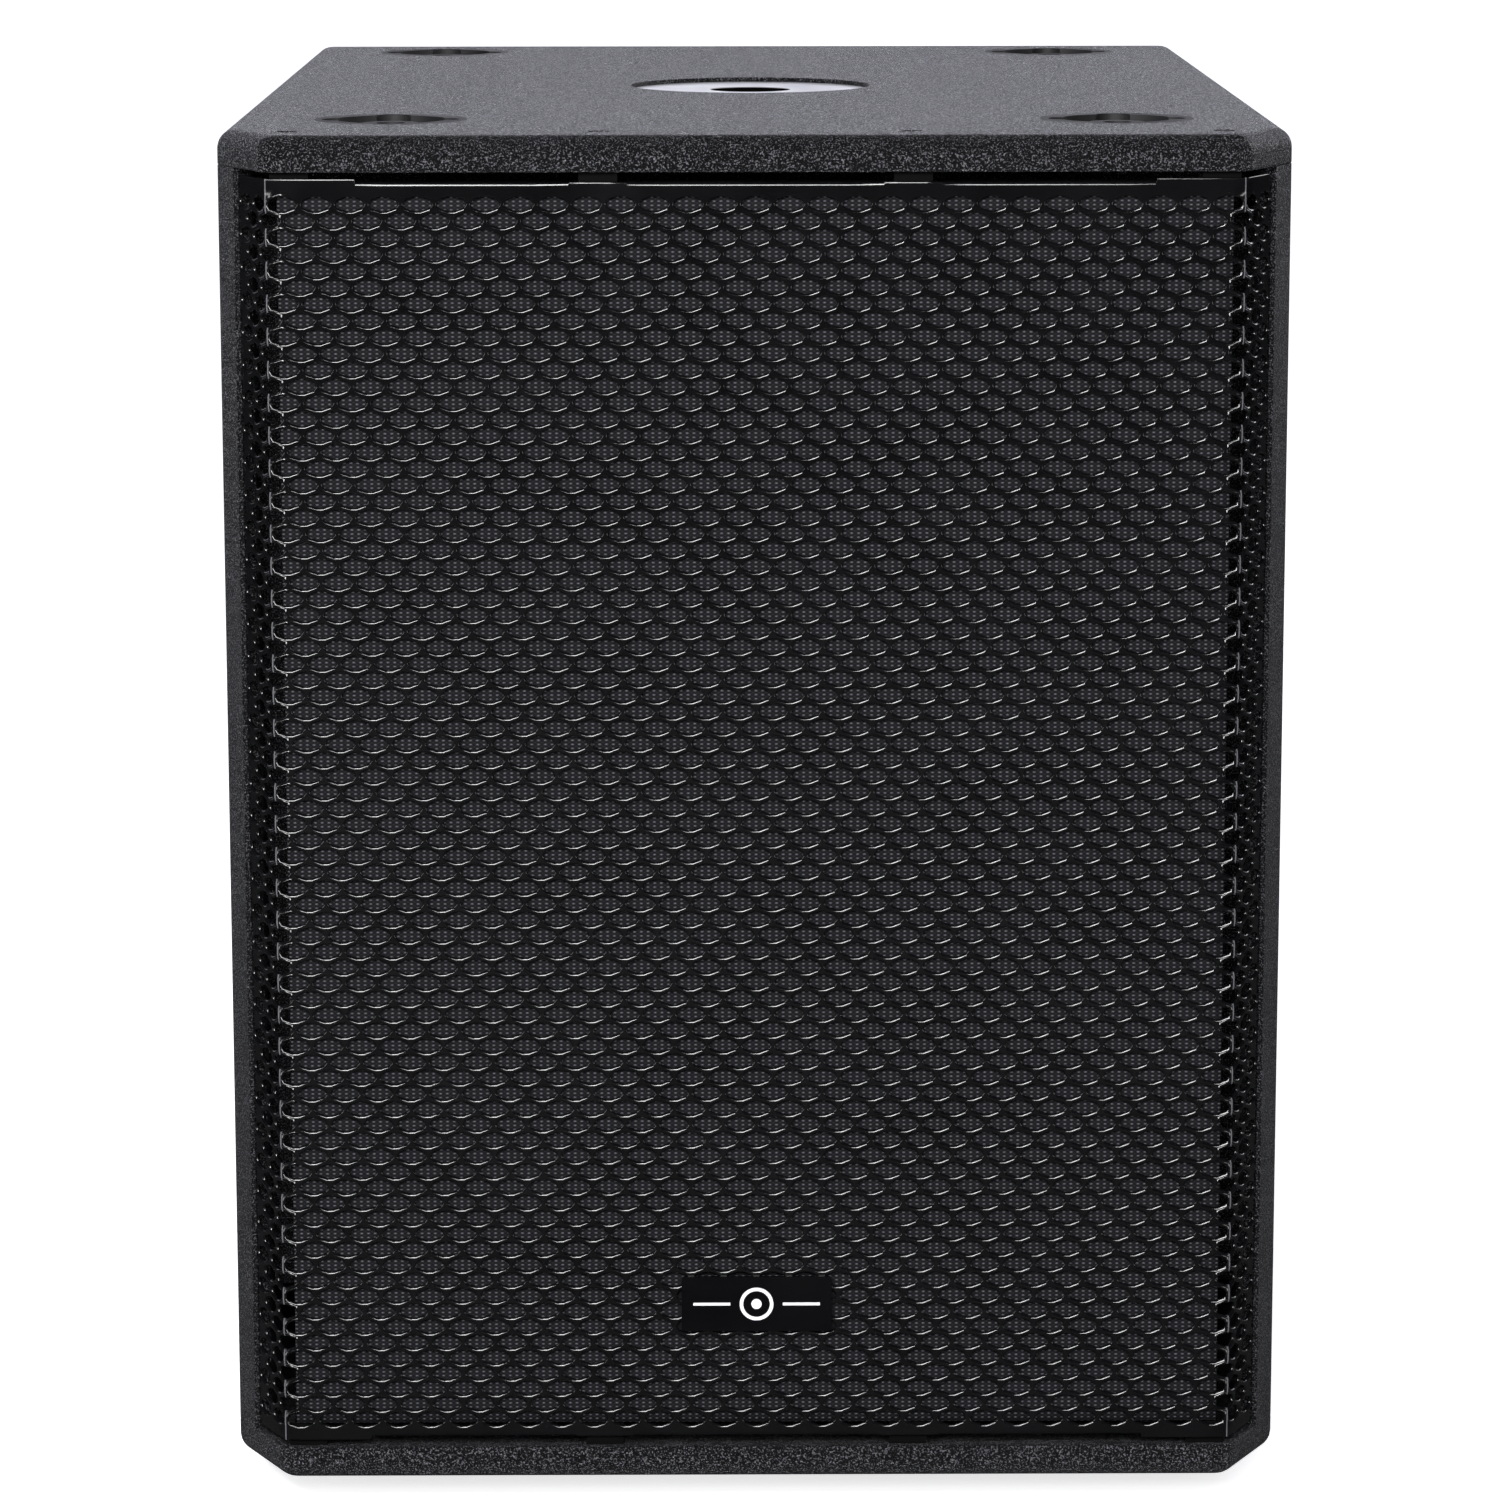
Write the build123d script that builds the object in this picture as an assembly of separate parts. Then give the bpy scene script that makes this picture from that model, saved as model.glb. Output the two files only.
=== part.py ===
from build123d import *
import math
import os

os.makedirs("parts", exist_ok=True)

# Passive 15 inch bass-reflex cabinet. Millimetres, +Z up, the front looks along -Y.
# The origin is on the floor under the middle of the cabinet.

# Cabinet box, without its feet
WIDTH = 450.0
DEPTH = 650.0
BOX_HEIGHT = 575.0
PANEL = 15.0
EDGE_ROUND = 8.0
CORNER_ROUND = 10.0
CHAMFER_WIDTH = 22.0
CHAMFER_DEPTH = 42.5
REAR_INSET = 5.0

# Baffle, port and bracing
BAFFLE_SETBACK = 45.0
BAFFLE_THICK = 18.0
PORT_HEIGHT = 60.0
PORT_LENGTH = 320.0
BRACE_THICK = 12.0
BRACE_RIM = 55.0
BRACE_WINDOW_ROUND = 30.0
WADDING_THICK = 25.0
WADDING_MARGIN = 12.0

# Folded steel grille and what is fixed to it
GRILLE_SHEET = 1.5
GRILLE_RECESS = 1.5
GRILLE_GAP = 2.6
GRILLE_WING = 28.0
GRILLE_WING_GAP = 1.5
HEM_HALF = 165.0
HEM_STEP = 1.4
HEM_DEPTH = 8.0
TAB_WIDTH = 16.0
TAB_THICK = 2.0
TAB_REACH = 33.0
TAB_DROP = 9.5
TAB_SCREW_BACK = 26.0
TAB_SCREW_INNER = 65.0
TAB_SCREW_EDGE = 8.0
SCRIM_THICK = 1.0
SCRIM_MARGIN = 4.0
BADGE_WIDTH = 64.0
BADGE_HEIGHT = 24.0
BADGE_THICK = 1.2
BADGE_ABOVE_BOTTOM = 78.0
EMBLEM_THICK = 0.3

# Fasteners: shank radius, head radius and head height
PANEL_SCREW_R = 2.0
PANEL_SCREW_HEAD_R = 4.3
PANEL_SCREW_HEAD = 1.8
TRIM_HEAD_R = 3.6
BOLT_R = 3.0
BOLT_HEAD_R = 5.0
BOLT_HEAD = 6.0
HOLE_PLAY = 0.05
HEAD_PLAY = 0.25
HEAD_SINK = 0.3
TEE_NUT_R = 9.0
TEE_NUT_FLANGE = 1.5
TEE_NUT_BARREL_R = 4.5
TEE_NUT_BARREL = 8.0

# Pole socket in the top
POLE_BORE_R = 18.25
POLE_TUBE_WALL = 1.75
POLE_BORE_DEPTH = 100.0
POLE_PLATE_R = 55.5
POLE_PLATE_THICK = 2.0
POLE_DROP = 2.0
POLE_PLAY = 0.5
POLE_NUT_R = 32.0
POLE_NUT_THICK = 6.0

# Stacking cups in the top and the rubber feet that land in them
STACK_X = 155.5
STACK_FROM_FRONT = 100.0
STACK_FROM_BACK = 60.0
CUP_R = 33.0
CUP_LIP = 2.5
CUP_BODY_R = 31.5
CUP_DEPTH = 10.5
CUP_FLOOR = 2.5
CUP_RECESS_R = 24.0
CUP_LOBE_R = 7.5
CUP_LOBE_OUT = 22.0
CUP_BOSS_R = 12.0
CUP_BOSS_DROP = 1.6
CUP_SCREW_POCKET = 3.0
FOOT_HEIGHT = 12.0
FOOT_R = 22.5
FOOT_TAPER = 1.5
FOOT_POCKET_R = 13.0
FOOT_POCKET = 8.0
FOOT_BOLT_HEAD = 4.0

# Bar handles let into the sides
HANDLE_LENGTH = 180.0
HANDLE_HEIGHT = 104.0
HANDLE_FLANGE = 3.0
HANDLE_MARGIN = 11.0
HANDLE_WALL = 2.5
HANDLE_DEPTH = 50.0
HANDLE_ROUND = 14.0
HANDLE_FORWARD = 45.0
HANDLE_ABOVE_BOTTOM = 335.0
GRIP_R = 9.0
GRIP_RAISE = 14.0
GRIP_SINK = 10.0

# Connector dish in the rear
DISH_WIDTH = 140.0
DISH_HEIGHT = 100.0
DISH_SHEET = 2.5
DISH_MARGIN = 14.0
DISH_DEPTH = 30.0
DISH_ROUND = 10.0
DISH_ABOVE_BOTTOM = 190.0
SOCKET_SPACING = 52.0
SOCKET_FLANGE_WIDTH = 26.0
SOCKET_FLANGE_HEIGHT = 31.0
SOCKET_FLANGE = 3.0
SOCKET_BODY_R = 11.9
SOCKET_BORE_R = 9.2
SOCKET_BODY = 24.0
SOCKET_FLOOR = 3.0

# 15 inch driver, radii and depths counted back from the front of the baffle
RIM_R = 193.0
CUTOUT_R = 177.5
GASKET_THICK = 2.0
RIM_THICK = 5.0
BOLT_CIRCLE_R = 186.0
BOLT_COUNT = 8
DRIVER_ABOVE_PORT = 243.0
BASKET_WALL_R = 176.0
SURROUND_LAND_R = 170.0
SURROUND_THICK = 1.0
CONE_R = 155.0
CONE_WALL = 1.6
CONE_LIP = 6.0
NECK_DEPTH = 50.0
DUST_CAP_R = 52.0
DUST_CAP_RISE = 16.0
DUST_CAP_WALL = 1.0
FORMER_R = 38.4
FORMER_WALL = 0.4
COIL_WALL = 1.2
COIL_HEIGHT = 16.0
COIL_START = 94.0
SPIDER_DEPTH = 76.0
SPIDER_R = 109.5
SPIDER_THICK = 0.8
SPIDER_WAVE = 3.0
SPIDER_WAVES = 5
POST_R = 2.5
POST_LENGTH = 9.0
POSTS_X = (-10.0, 10.0)
BASKET_BACK = 98.0
BASKET_BACK_R = 98.0
BASKET_RING_R = 116.0
BASKET_WINDOWS = 6
GAP_INSIDE = 1.2
GAP_OUTSIDE = 0.8
PLATE_R = 82.0
PLATE_THICK = 8.0
MAGNET_R = 90.0
MAGNET_HOLE_R = 48.0
MAGNET_THICK = 22.0
VENT_R = 12.0

# Crossover board on the floor of the box
BOARD_WIDTH = 150.0
BOARD_DEPTH = 100.0
BOARD_THICK = 1.6
BOARD_X = 70.0
BOARD_FROM_REAR = 40.0
STANDOFF = 6.0
STANDOFF_R = 4.0
COIL_SPOOL_R = 32.0
COIL_SPOOL_HEIGHT = 26.0
CAPACITOR_R = 11.0
CAPACITOR_LENGTH = 46.0
RESISTOR_LENGTH = 48.0
RESISTOR_SIDE = 10.0
WIRE_R = 1.75

# Levels and faces that follow from the sizes above
FRONT_Y = -DEPTH / 2
BACK_Y = DEPTH / 2
BOX_BOTTOM = FOOT_HEIGHT
BOX_TOP = FOOT_HEIGHT + BOX_HEIGHT
INNER_X = WIDTH / 2 - PANEL
INNER_BOTTOM = BOX_BOTTOM + PANEL
INNER_TOP = BOX_TOP - PANEL
FLAT_HALF = WIDTH / 2 - CHAMFER_WIDTH
REAR_OUTER_Y = BACK_Y - REAR_INSET
REAR_INNER_Y = REAR_OUTER_Y - PANEL
BAFFLE_Y = FRONT_Y + BAFFLE_SETBACK
BAFFLE_BACK_Y = BAFFLE_Y + BAFFLE_THICK
PORT_TOP = INNER_BOTTOM + PORT_HEIGHT
SHELF_TOP = PORT_TOP + PANEL
BRACE_Y = BAFFLE_BACK_Y + PORT_LENGTH
BRACE_BACK_Y = BRACE_Y + BRACE_THICK
DRIVER_Z = PORT_TOP + DRIVER_ABOVE_PORT
GRILLE_FACE_Y = FRONT_Y + GRILLE_RECESS
GRILLE_BACK_Y = GRILLE_FACE_Y + GRILLE_SHEET
GRILLE_LOW = INNER_BOTTOM + GRILLE_GAP
GRILLE_HIGH = INNER_TOP - GRILLE_GAP
STACK_SPOTS = [
    (side * STACK_X, y)
    for y in (FRONT_Y + STACK_FROM_FRONT, BACK_Y - STACK_FROM_BACK)
    for side in (-1, 1)
]
TAB_SCREWS_X = [
    -(FLAT_HALF - TAB_SCREW_EDGE),
    -TAB_SCREW_INNER,
    TAB_SCREW_INNER,
    FLAT_HALF - TAB_SCREW_EDGE,
]
HANDLE_Z = BOX_BOTTOM + HANDLE_ABOVE_BOTTOM
DISH_Z = BOX_BOTTOM + DISH_ABOVE_BOTTOM
DISH_FACE_Y = REAR_OUTER_Y + DISH_SHEET - DISH_DEPTH
SOCKETS_X = (-SOCKET_SPACING / 2, SOCKET_SPACING / 2)
BOARD_Y = REAR_INNER_Y - BOARD_FROM_REAR - BOARD_DEPTH / 2
BOARD_TOP = INNER_BOTTOM + STANDOFF + BOARD_THICK

# The corner chamfer as a unit direction in plan
CHAMFER_RUN = math.hypot(CHAMFER_WIDTH, CHAMFER_DEPTH)
ALONG_X = CHAMFER_WIDTH / CHAMFER_RUN
ALONG_Y = CHAMFER_DEPTH / CHAMFER_RUN
FOLD_SHIFT = (1 - ALONG_X) / ALONG_Y

UP = (Align.CENTER, Align.CENTER, Align.MIN)
DOWN = (Align.CENTER, Align.CENTER, Align.MAX)


def save(name, shape):
    export_step(shape, f"parts/{name}.step")


def group(solids):
    return Compound(list(solids))


def block(x0, x1, y0, y1, z0, z1):
    """A box between two corners."""
    middle = Pos((x0 + x1) / 2, (y0 + y1) / 2, (z0 + z1) / 2)
    return middle * Box(x1 - x0, y1 - y0, z1 - z0)


def prism(points, z0, z1):
    """A plan outline carried up from z0 to z1."""
    return Pos(0, 0, z0) * extrude(Polygon(*points, align=None), amount=z1 - z0)


def turned(points):
    """A section of (radius, depth) points turned about the Z axis."""
    return revolve(Plane.XZ * Polygon(*points, align=None), Axis.Z)


def ring(inner, outer, low, high):
    """A plain ring about Z."""
    tube = Cylinder(outer, high - low, align=UP) - Cylinder(inner, high - low, align=UP)
    return Pos(0, 0, low) * tube


def rounded_slab(length, height, thick, corner):
    """A rounded rectangle in XY, its top face on z = 0."""
    slab = Box(length, height, thick, align=DOWN)
    return fillet(slab.edges().filter_by(Axis.Z), corner)


def screw(shank_r, length, head_r, head_height):
    """A screw that points down, with the underside of its head on z = 0."""
    head = Cylinder(head_r, head_height, align=UP)
    head = fillet(head.edges().sort_by(Axis.Z)[-1], head_height * 0.35)
    recess = Pos(0, 0, head_height * 0.4) * extrude(
        RegularPolygon(head_r * 0.45, 6), amount=head_height
    )
    return head + Cylinder(shank_r, length, align=DOWN) - recess


def tee_nut(bore_r):
    """A tee nut whose flange lies on z = 0 and points down, with its barrel up."""
    flange = ring(bore_r, TEE_NUT_R, -TEE_NUT_FLANGE, 0)
    return flange + ring(bore_r, TEE_NUT_BARREL_R, 0, TEE_NUT_BARREL)


def mirrored(shape):
    return mirror(shape, about=Plane.YZ)


def fold_x(inset):
    """Where the front flat meets the chamfer on an outline moved inwards by inset."""
    return FLAT_HALF - inset * FOLD_SHIFT


def chamfer_point(inset, run):
    """A plan point on the moved-in chamfer, run millimetres past the fold."""
    return (fold_x(inset) + ALONG_X * run, FRONT_Y + inset + ALONG_Y * run)


# Cabinet panels


def lid_panel():
    """The outline that the top and bottom panels share, its outer face on z = 0."""
    right = [(FLAT_HALF, FRONT_Y), (WIDTH / 2, FRONT_Y + CHAMFER_DEPTH), (WIDTH / 2, BACK_Y)]
    left = [(-x, y) for x, y in reversed(right)]
    panel = prism(right + left, -PANEL, 0)
    panel = fillet(panel.edges().filter_by(Axis.Z), CORNER_ROUND)
    outer = panel.faces().sort_by(Axis.Z)[-1].edges()
    panel = fillet(outer, EDGE_ROUND)
    lips = panel.faces().sort_by(Axis.Z)[0].edges()
    return fillet(lips, 1.0)


def tab_screw_holes():
    """Clearance holes with a pocket that lets each head sit just under the face z = 0."""
    hole = Cylinder(PANEL_SCREW_R + HOLE_PLAY, PANEL * 3)
    hole += Cylinder(PANEL_SCREW_HEAD_R + HEAD_PLAY, 2 * (PANEL_SCREW_HEAD + HEAD_SINK))
    return group(Pos(x, FRONT_Y + TAB_SCREW_BACK, 0) * hole for x in TAB_SCREWS_X)


def top_panel():
    panel = lid_panel()
    panel -= Cylinder(POLE_PLATE_R + POLE_PLAY, 2 * (POLE_DROP + POLE_PLATE_THICK))
    panel -= Cylinder(POLE_BORE_R + POLE_TUBE_WALL + POLE_PLAY, PANEL * 3)
    for x, y in STACK_SPOTS:
        panel -= Pos(x, y, 0) * Cylinder(CUP_R + HOLE_PLAY, 2 * CUP_LIP)
        panel -= Pos(x, y, 0) * Cylinder(CUP_BODY_R + HOLE_PLAY, 2 * CUP_DEPTH)
        panel -= Pos(x, y, 0) * Cylinder(PANEL_SCREW_R + HOLE_PLAY, PANEL * 3)
    panel -= tab_screw_holes()
    return Pos(0, 0, BOX_TOP) * panel


def bottom_panel():
    panel = Rot(Y=180) * lid_panel()
    panel -= tab_screw_holes()
    for x, y in STACK_SPOTS:
        panel -= Pos(x, y, 0) * Cylinder(BOLT_R + HOLE_PLAY, PANEL * 3)
        barrel = Cylinder(TEE_NUT_BARREL_R + HOLE_PLAY, TEE_NUT_BARREL, align=DOWN)
        panel -= Pos(x, y, PANEL) * barrel
    return Pos(0, 0, BOX_BOTTOM) * panel


def side_panel():
    """The right side. Its front edge is bevelled in line with the grille's wing."""
    seat = GRILLE_WING + GRILLE_RECESS * FOLD_SHIFT + GRILLE_WING_GAP
    outer = chamfer_point(0, seat)
    inwards = (outer[0] - INNER_X) / ALONG_Y
    inner = (INNER_X, outer[1] + ALONG_X * inwards)
    points = [outer, (WIDTH / 2, FRONT_Y + CHAMFER_DEPTH), (WIDTH / 2, BACK_Y), (INNER_X, BACK_Y), inner]
    panel = prism(points, INNER_BOTTOM, INNER_TOP)
    corners = panel.edges().filter_by(Axis.Z).group_by(Axis.X)[-1]
    panel = fillet(corners, CORNER_ROUND)
    hole = rounded_slab(
        HANDLE_LENGTH - 2 * HANDLE_MARGIN + 2 * HOLE_PLAY,
        HANDLE_HEIGHT - 2 * HANDLE_MARGIN + 2 * HOLE_PLAY,
        PANEL * 3,
        HANDLE_ROUND,
    )
    panel -= handle_place() * Pos(0, 0, PANEL) * hole
    return panel - pilot_holes(handle_place(), handle_screw_spots())


def rear_panel():
    panel = block(-INNER_X, INNER_X, REAR_INNER_Y, REAR_OUTER_Y, INNER_BOTTOM, INNER_TOP)
    hole = rounded_slab(
        DISH_WIDTH - 2 * DISH_MARGIN + 2 * HOLE_PLAY,
        DISH_HEIGHT - 2 * DISH_MARGIN + 2 * HOLE_PLAY,
        PANEL * 3,
        DISH_ROUND,
    )
    panel -= dish_place() * Pos(0, 0, PANEL) * hole
    return panel - pilot_holes(dish_place(), dish_screw_spots())


def baffle():
    panel = block(-INNER_X, INNER_X, BAFFLE_Y, BAFFLE_BACK_Y, PORT_TOP, INNER_TOP)
    panel -= driver_place() * Cylinder(CUTOUT_R, BAFFLE_THICK * 3)
    shank = Cylinder(BOLT_R + HOLE_PLAY, BAFFLE_THICK * 3)
    barrel = Cylinder(TEE_NUT_BARREL_R + HOLE_PLAY, TEE_NUT_BARREL, align=DOWN)
    for spot in bolt_spots():
        panel -= driver_place() * spot * shank
        panel -= driver_place() * spot * Pos(0, 0, BAFFLE_THICK) * barrel
    return panel


def port_shelf():
    return block(-INNER_X, INNER_X, BAFFLE_BACK_Y, BRACE_Y, PORT_TOP, SHELF_TOP)


def port_divider():
    return block(-PANEL / 2, PANEL / 2, BAFFLE_Y, BRACE_Y, INNER_BOTTOM, PORT_TOP)


def window_brace():
    """A frame across the box: two port mouths below and one window above the shelf."""
    panel = block(-INNER_X, INNER_X, BRACE_Y, BRACE_BACK_Y, INNER_BOTTOM, INNER_TOP)
    mouth = block(PANEL / 2, INNER_X - PANEL, BRACE_Y - 1, BRACE_BACK_Y + 1, INNER_BOTTOM, PORT_TOP)
    panel -= mouth
    panel -= mirrored(mouth)
    window = block(
        BRACE_RIM - INNER_X,
        INNER_X - BRACE_RIM,
        BRACE_Y - 1,
        BRACE_BACK_Y + 1,
        SHELF_TOP + BRACE_RIM / 2,
        INNER_TOP - BRACE_RIM,
    )
    return panel - fillet(window.edges().filter_by(Axis.Y), BRACE_WINDOW_ROUND)


def rear_wadding():
    low = DISH_Z + DISH_HEIGHT / 2 + WADDING_MARGIN
    reach = INNER_X - WADDING_THICK - WADDING_MARGIN
    y = REAR_INNER_Y - HOLE_PLAY
    pad = block(-reach, reach, y - WADDING_THICK, y, low, INNER_TOP - WADDING_MARGIN)
    return fillet(pad.edges(), WADDING_MARGIN / 2)


def side_wadding():
    x = INNER_X - HOLE_PLAY
    low = SHELF_TOP + WADDING_MARGIN
    near = BRACE_BACK_Y + WADDING_MARGIN
    far = REAR_INNER_Y - WADDING_MARGIN
    pad = block(x - WADDING_THICK, x, near, far, low, INNER_TOP - WADDING_MARGIN)
    pad = fillet(pad.edges(), WADDING_MARGIN / 2)
    return group([pad, mirrored(pad)])


# Grille, scrim and badge


def grille():
    """A folded sheet: a flat front, two swept-back wings and short hems top and bottom."""
    right_out = [(fold_x(GRILLE_RECESS), GRILLE_FACE_Y), chamfer_point(GRILLE_RECESS, GRILLE_WING)]
    inner = GRILLE_RECESS + GRILLE_SHEET
    run = GRILLE_WING - GRILLE_SHEET * FOLD_SHIFT
    right_in = [chamfer_point(inner, run), (fold_x(inner), GRILLE_BACK_Y)]
    right = right_out + right_in
    left = [(-x, y) for x, y in reversed(right)]
    sheet = prism(right + left, GRILLE_LOW, GRILLE_HIGH)
    for inset, radius in ((GRILLE_RECESS, 2 * GRILLE_SHEET), (inner, GRILLE_SHEET)):
        folds = [
            e
            for e in sheet.edges().filter_by(Axis.Z)
            if abs(abs(e.center().X) - fold_x(inset)) < 0.01
            and abs(e.center().Y - FRONT_Y - inset) < 0.01
        ]
        sheet = fillet(folds, radius)
    for low, high in ((GRILLE_LOW, GRILLE_LOW + HEM_STEP), (GRILLE_HIGH - HEM_STEP, GRILLE_HIGH)):
        sheet -= block(-HEM_HALF, HEM_HALF, FRONT_Y, GRILLE_BACK_Y + 1, low, high)
    for low in (GRILLE_LOW + HEM_STEP, GRILLE_HIGH - HEM_STEP - GRILLE_SHEET):
        for x0, x1 in hem_spans():
            sheet += block(x0, x1, GRILLE_BACK_Y, GRILLE_BACK_Y + HEM_DEPTH, low, low + GRILLE_SHEET)
    hem_bends = [
        e
        for e in sheet.edges().filter_by(Axis.X)
        if abs(e.center().Y - GRILLE_FACE_Y) < 0.01
        and abs(e.center().X) < HEM_HALF
        and e.length > HEM_HALF
    ]
    return fillet(hem_bends, GRILLE_SHEET * 0.8)


def hem_spans():
    """The hem is broken where a fixing tab crosses it."""
    clear = TAB_WIDTH / 2 + 4
    inner = TAB_SCREW_INNER
    return [(-HEM_HALF, -inner - clear), (clear - inner, inner - clear), (inner + clear, HEM_HALF)]


def grille_tabs():
    """Angle tabs welded behind the grille, each tapped for one panel screw."""
    found = []
    for x in TAB_SCREWS_X:
        limit = fold_x(GRILLE_RECESS + GRILLE_SHEET) - TAB_WIDTH / 2 - 1
        middle = math.copysign(min(abs(x), limit), x)
        x0 = middle - TAB_WIDTH / 2
        x1 = middle + TAB_WIDTH / 2
        y = GRILLE_BACK_Y
        leg = block(x0, x1, y, y + TAB_REACH, -TAB_THICK, 0)
        leg += block(x0, x1, y, y + TAB_THICK, -TAB_DROP, 0)
        hole = Pos(x, FRONT_Y + TAB_SCREW_BACK, 0) * Cylinder(PANEL_SCREW_R + HOLE_PLAY, PANEL)
        tab = leg - hole
        found.append(Pos(0, 0, INNER_TOP) * tab)
        found.append(Pos(0, 0, INNER_BOTTOM) * mirror(tab, about=Plane.XY))
    return group(found)


def grille_screws():
    length = PANEL + TAB_THICK + 2
    head = (PANEL_SCREW_HEAD_R, PANEL_SCREW_HEAD)
    sunk = PANEL_SCREW_HEAD + HEAD_SINK
    one = Pos(0, 0, -sunk) * screw(PANEL_SCREW_R, length - sunk, *head)
    found = []
    for x in TAB_SCREWS_X:
        spot = Pos(x, FRONT_Y + TAB_SCREW_BACK, 0)
        found.append(Pos(0, 0, BOX_TOP) * spot * one)
        found.append(Pos(0, 0, BOX_BOTTOM) * spot * mirror(one, about=Plane.XY))
    return group(found)


def grille_scrim():
    reach = fold_x(GRILLE_RECESS + GRILLE_SHEET) - SCRIM_MARGIN
    y = GRILLE_BACK_Y
    low = INNER_BOTTOM + TAB_DROP + 0.5
    return block(-reach, reach, y, y + SCRIM_THICK, low, INNER_TOP - TAB_DROP - 0.5)


def badge_place():
    return Pos(0, GRILLE_FACE_Y, BOX_BOTTOM + BADGE_ABOVE_BOTTOM) * Rot(X=90)


def badge():
    slab = rounded_slab(BADGE_WIDTH, BADGE_HEIGHT, BADGE_THICK, 1.5)
    return badge_place() * Pos(0, 0, BADGE_THICK) * slab


def badge_emblem():
    """A plain ring and dot between two short rules."""
    outer = BADGE_HEIGHT * 0.3
    mark = [ring(outer - 1.5, outer, 0, EMBLEM_THICK), Cylinder(2.2, EMBLEM_THICK, align=UP)]
    rule = BADGE_WIDTH / 2 - outer - 9
    for side in (-1, 1):
        bar = Box(rule, 1.2, EMBLEM_THICK, align=UP)
        mark.append(Pos(side * (outer + 4 + rule / 2), 0, 0) * bar)
    return badge_place() * Pos(0, 0, BADGE_THICK) * group(mark)


# Top and bottom fittings


def pole_cup():
    """A plated disc in the top with a blind tube below it for a 35 mm pole."""
    tube_r = POLE_BORE_R + POLE_TUBE_WALL
    cup = Cylinder(POLE_PLATE_R, POLE_PLATE_THICK, align=DOWN)
    cup += Cylinder(tube_r, POLE_BORE_DEPTH + POLE_TUBE_WALL, align=DOWN)
    cup -= Cylinder(POLE_BORE_R, POLE_BORE_DEPTH, align=DOWN)
    mouth = [
        e
        for e in cup.edges().filter_by(GeomType.CIRCLE)
        if abs(e.radius - POLE_BORE_R) < 0.01 and abs(e.center().Z) < 0.01
    ]
    cup = chamfer(mouth, 0.8)
    return Pos(0, 0, BOX_TOP - POLE_DROP) * cup


def pole_cup_nut():
    nut = extrude(RegularPolygon(POLE_NUT_R, 6), amount=-POLE_NUT_THICK)
    nut -= Cylinder(POLE_BORE_R + POLE_TUBE_WALL, PANEL * 2)
    return Pos(0, 0, INNER_TOP) * nut


def stacking_cup():
    """A moulded cup flush with the top: four lobes round a raised centre boss."""
    cup = Cylinder(CUP_R, CUP_LIP, align=DOWN) + Cylinder(CUP_BODY_R, CUP_DEPTH, align=DOWN)
    depth = CUP_DEPTH - CUP_FLOOR
    recess = Cylinder(CUP_RECESS_R, depth, align=DOWN)
    for turn in range(4):
        lobe = Pos(CUP_LOBE_OUT, 0, 0) * Cylinder(CUP_LOBE_R, depth, align=DOWN)
        recess += Rot(Z=90 * turn) * lobe
    recess -= Cylinder(CUP_BOSS_R, depth, align=DOWN)
    cup -= recess
    cup -= Cylinder(CUP_BOSS_R + 0.01, 2 * CUP_BOSS_DROP)
    cup -= Cylinder(PANEL_SCREW_HEAD_R + 2, 2 * (CUP_BOSS_DROP + CUP_SCREW_POCKET))
    return cup - Cylinder(PANEL_SCREW_R + HOLE_PLAY, PANEL * 3)


def cup_screws():
    sunk = CUP_BOSS_DROP + CUP_SCREW_POCKET
    one = screw(PANEL_SCREW_R, PANEL - sunk + 8, PANEL_SCREW_HEAD_R, PANEL_SCREW_HEAD)
    return group(Pos(x, y, BOX_TOP - sunk) * one for x, y in STACK_SPOTS)


def cup_nuts():
    nut = extrude(RegularPolygon(PANEL_SCREW_R * 2, 6), amount=-4)
    nut -= Cylinder(PANEL_SCREW_R + HOLE_PLAY, PANEL)
    return group(Pos(x, y, INNER_TOP) * nut for x, y in STACK_SPOTS)


def foot():
    """A rubber ring foot that drops over the boss of a cup below it."""
    body = turned(
        [(0, 0), (FOOT_R - FOOT_TAPER, 0), (FOOT_R, FOOT_HEIGHT - 4), (FOOT_R, FOOT_HEIGHT), (0, FOOT_HEIGHT)]
    )
    body -= Cylinder(FOOT_POCKET_R, 2 * FOOT_POCKET)
    return body - Cylinder(BOLT_R + HOLE_PLAY, FOOT_HEIGHT * 3)


def feet():
    return group(Pos(x, y, 0) * foot() for x, y in STACK_SPOTS)


def foot_bolts():
    length = FOOT_HEIGHT - FOOT_POCKET + PANEL + 2
    one = mirror(screw(BOLT_R, length, BOLT_HEAD_R, FOOT_BOLT_HEAD), about=Plane.XY)
    return group(Pos(x, y, FOOT_POCKET) * one for x, y in STACK_SPOTS)


# Side handles


def handle_place():
    """On the right side's outer face, local Z outwards and local Y up."""
    plane = Plane(
        origin=(WIDTH / 2, -HANDLE_FORWARD, HANDLE_Z), x_dir=(0, 1, 0), z_dir=(1, 0, 0)
    )
    return plane.location


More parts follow.
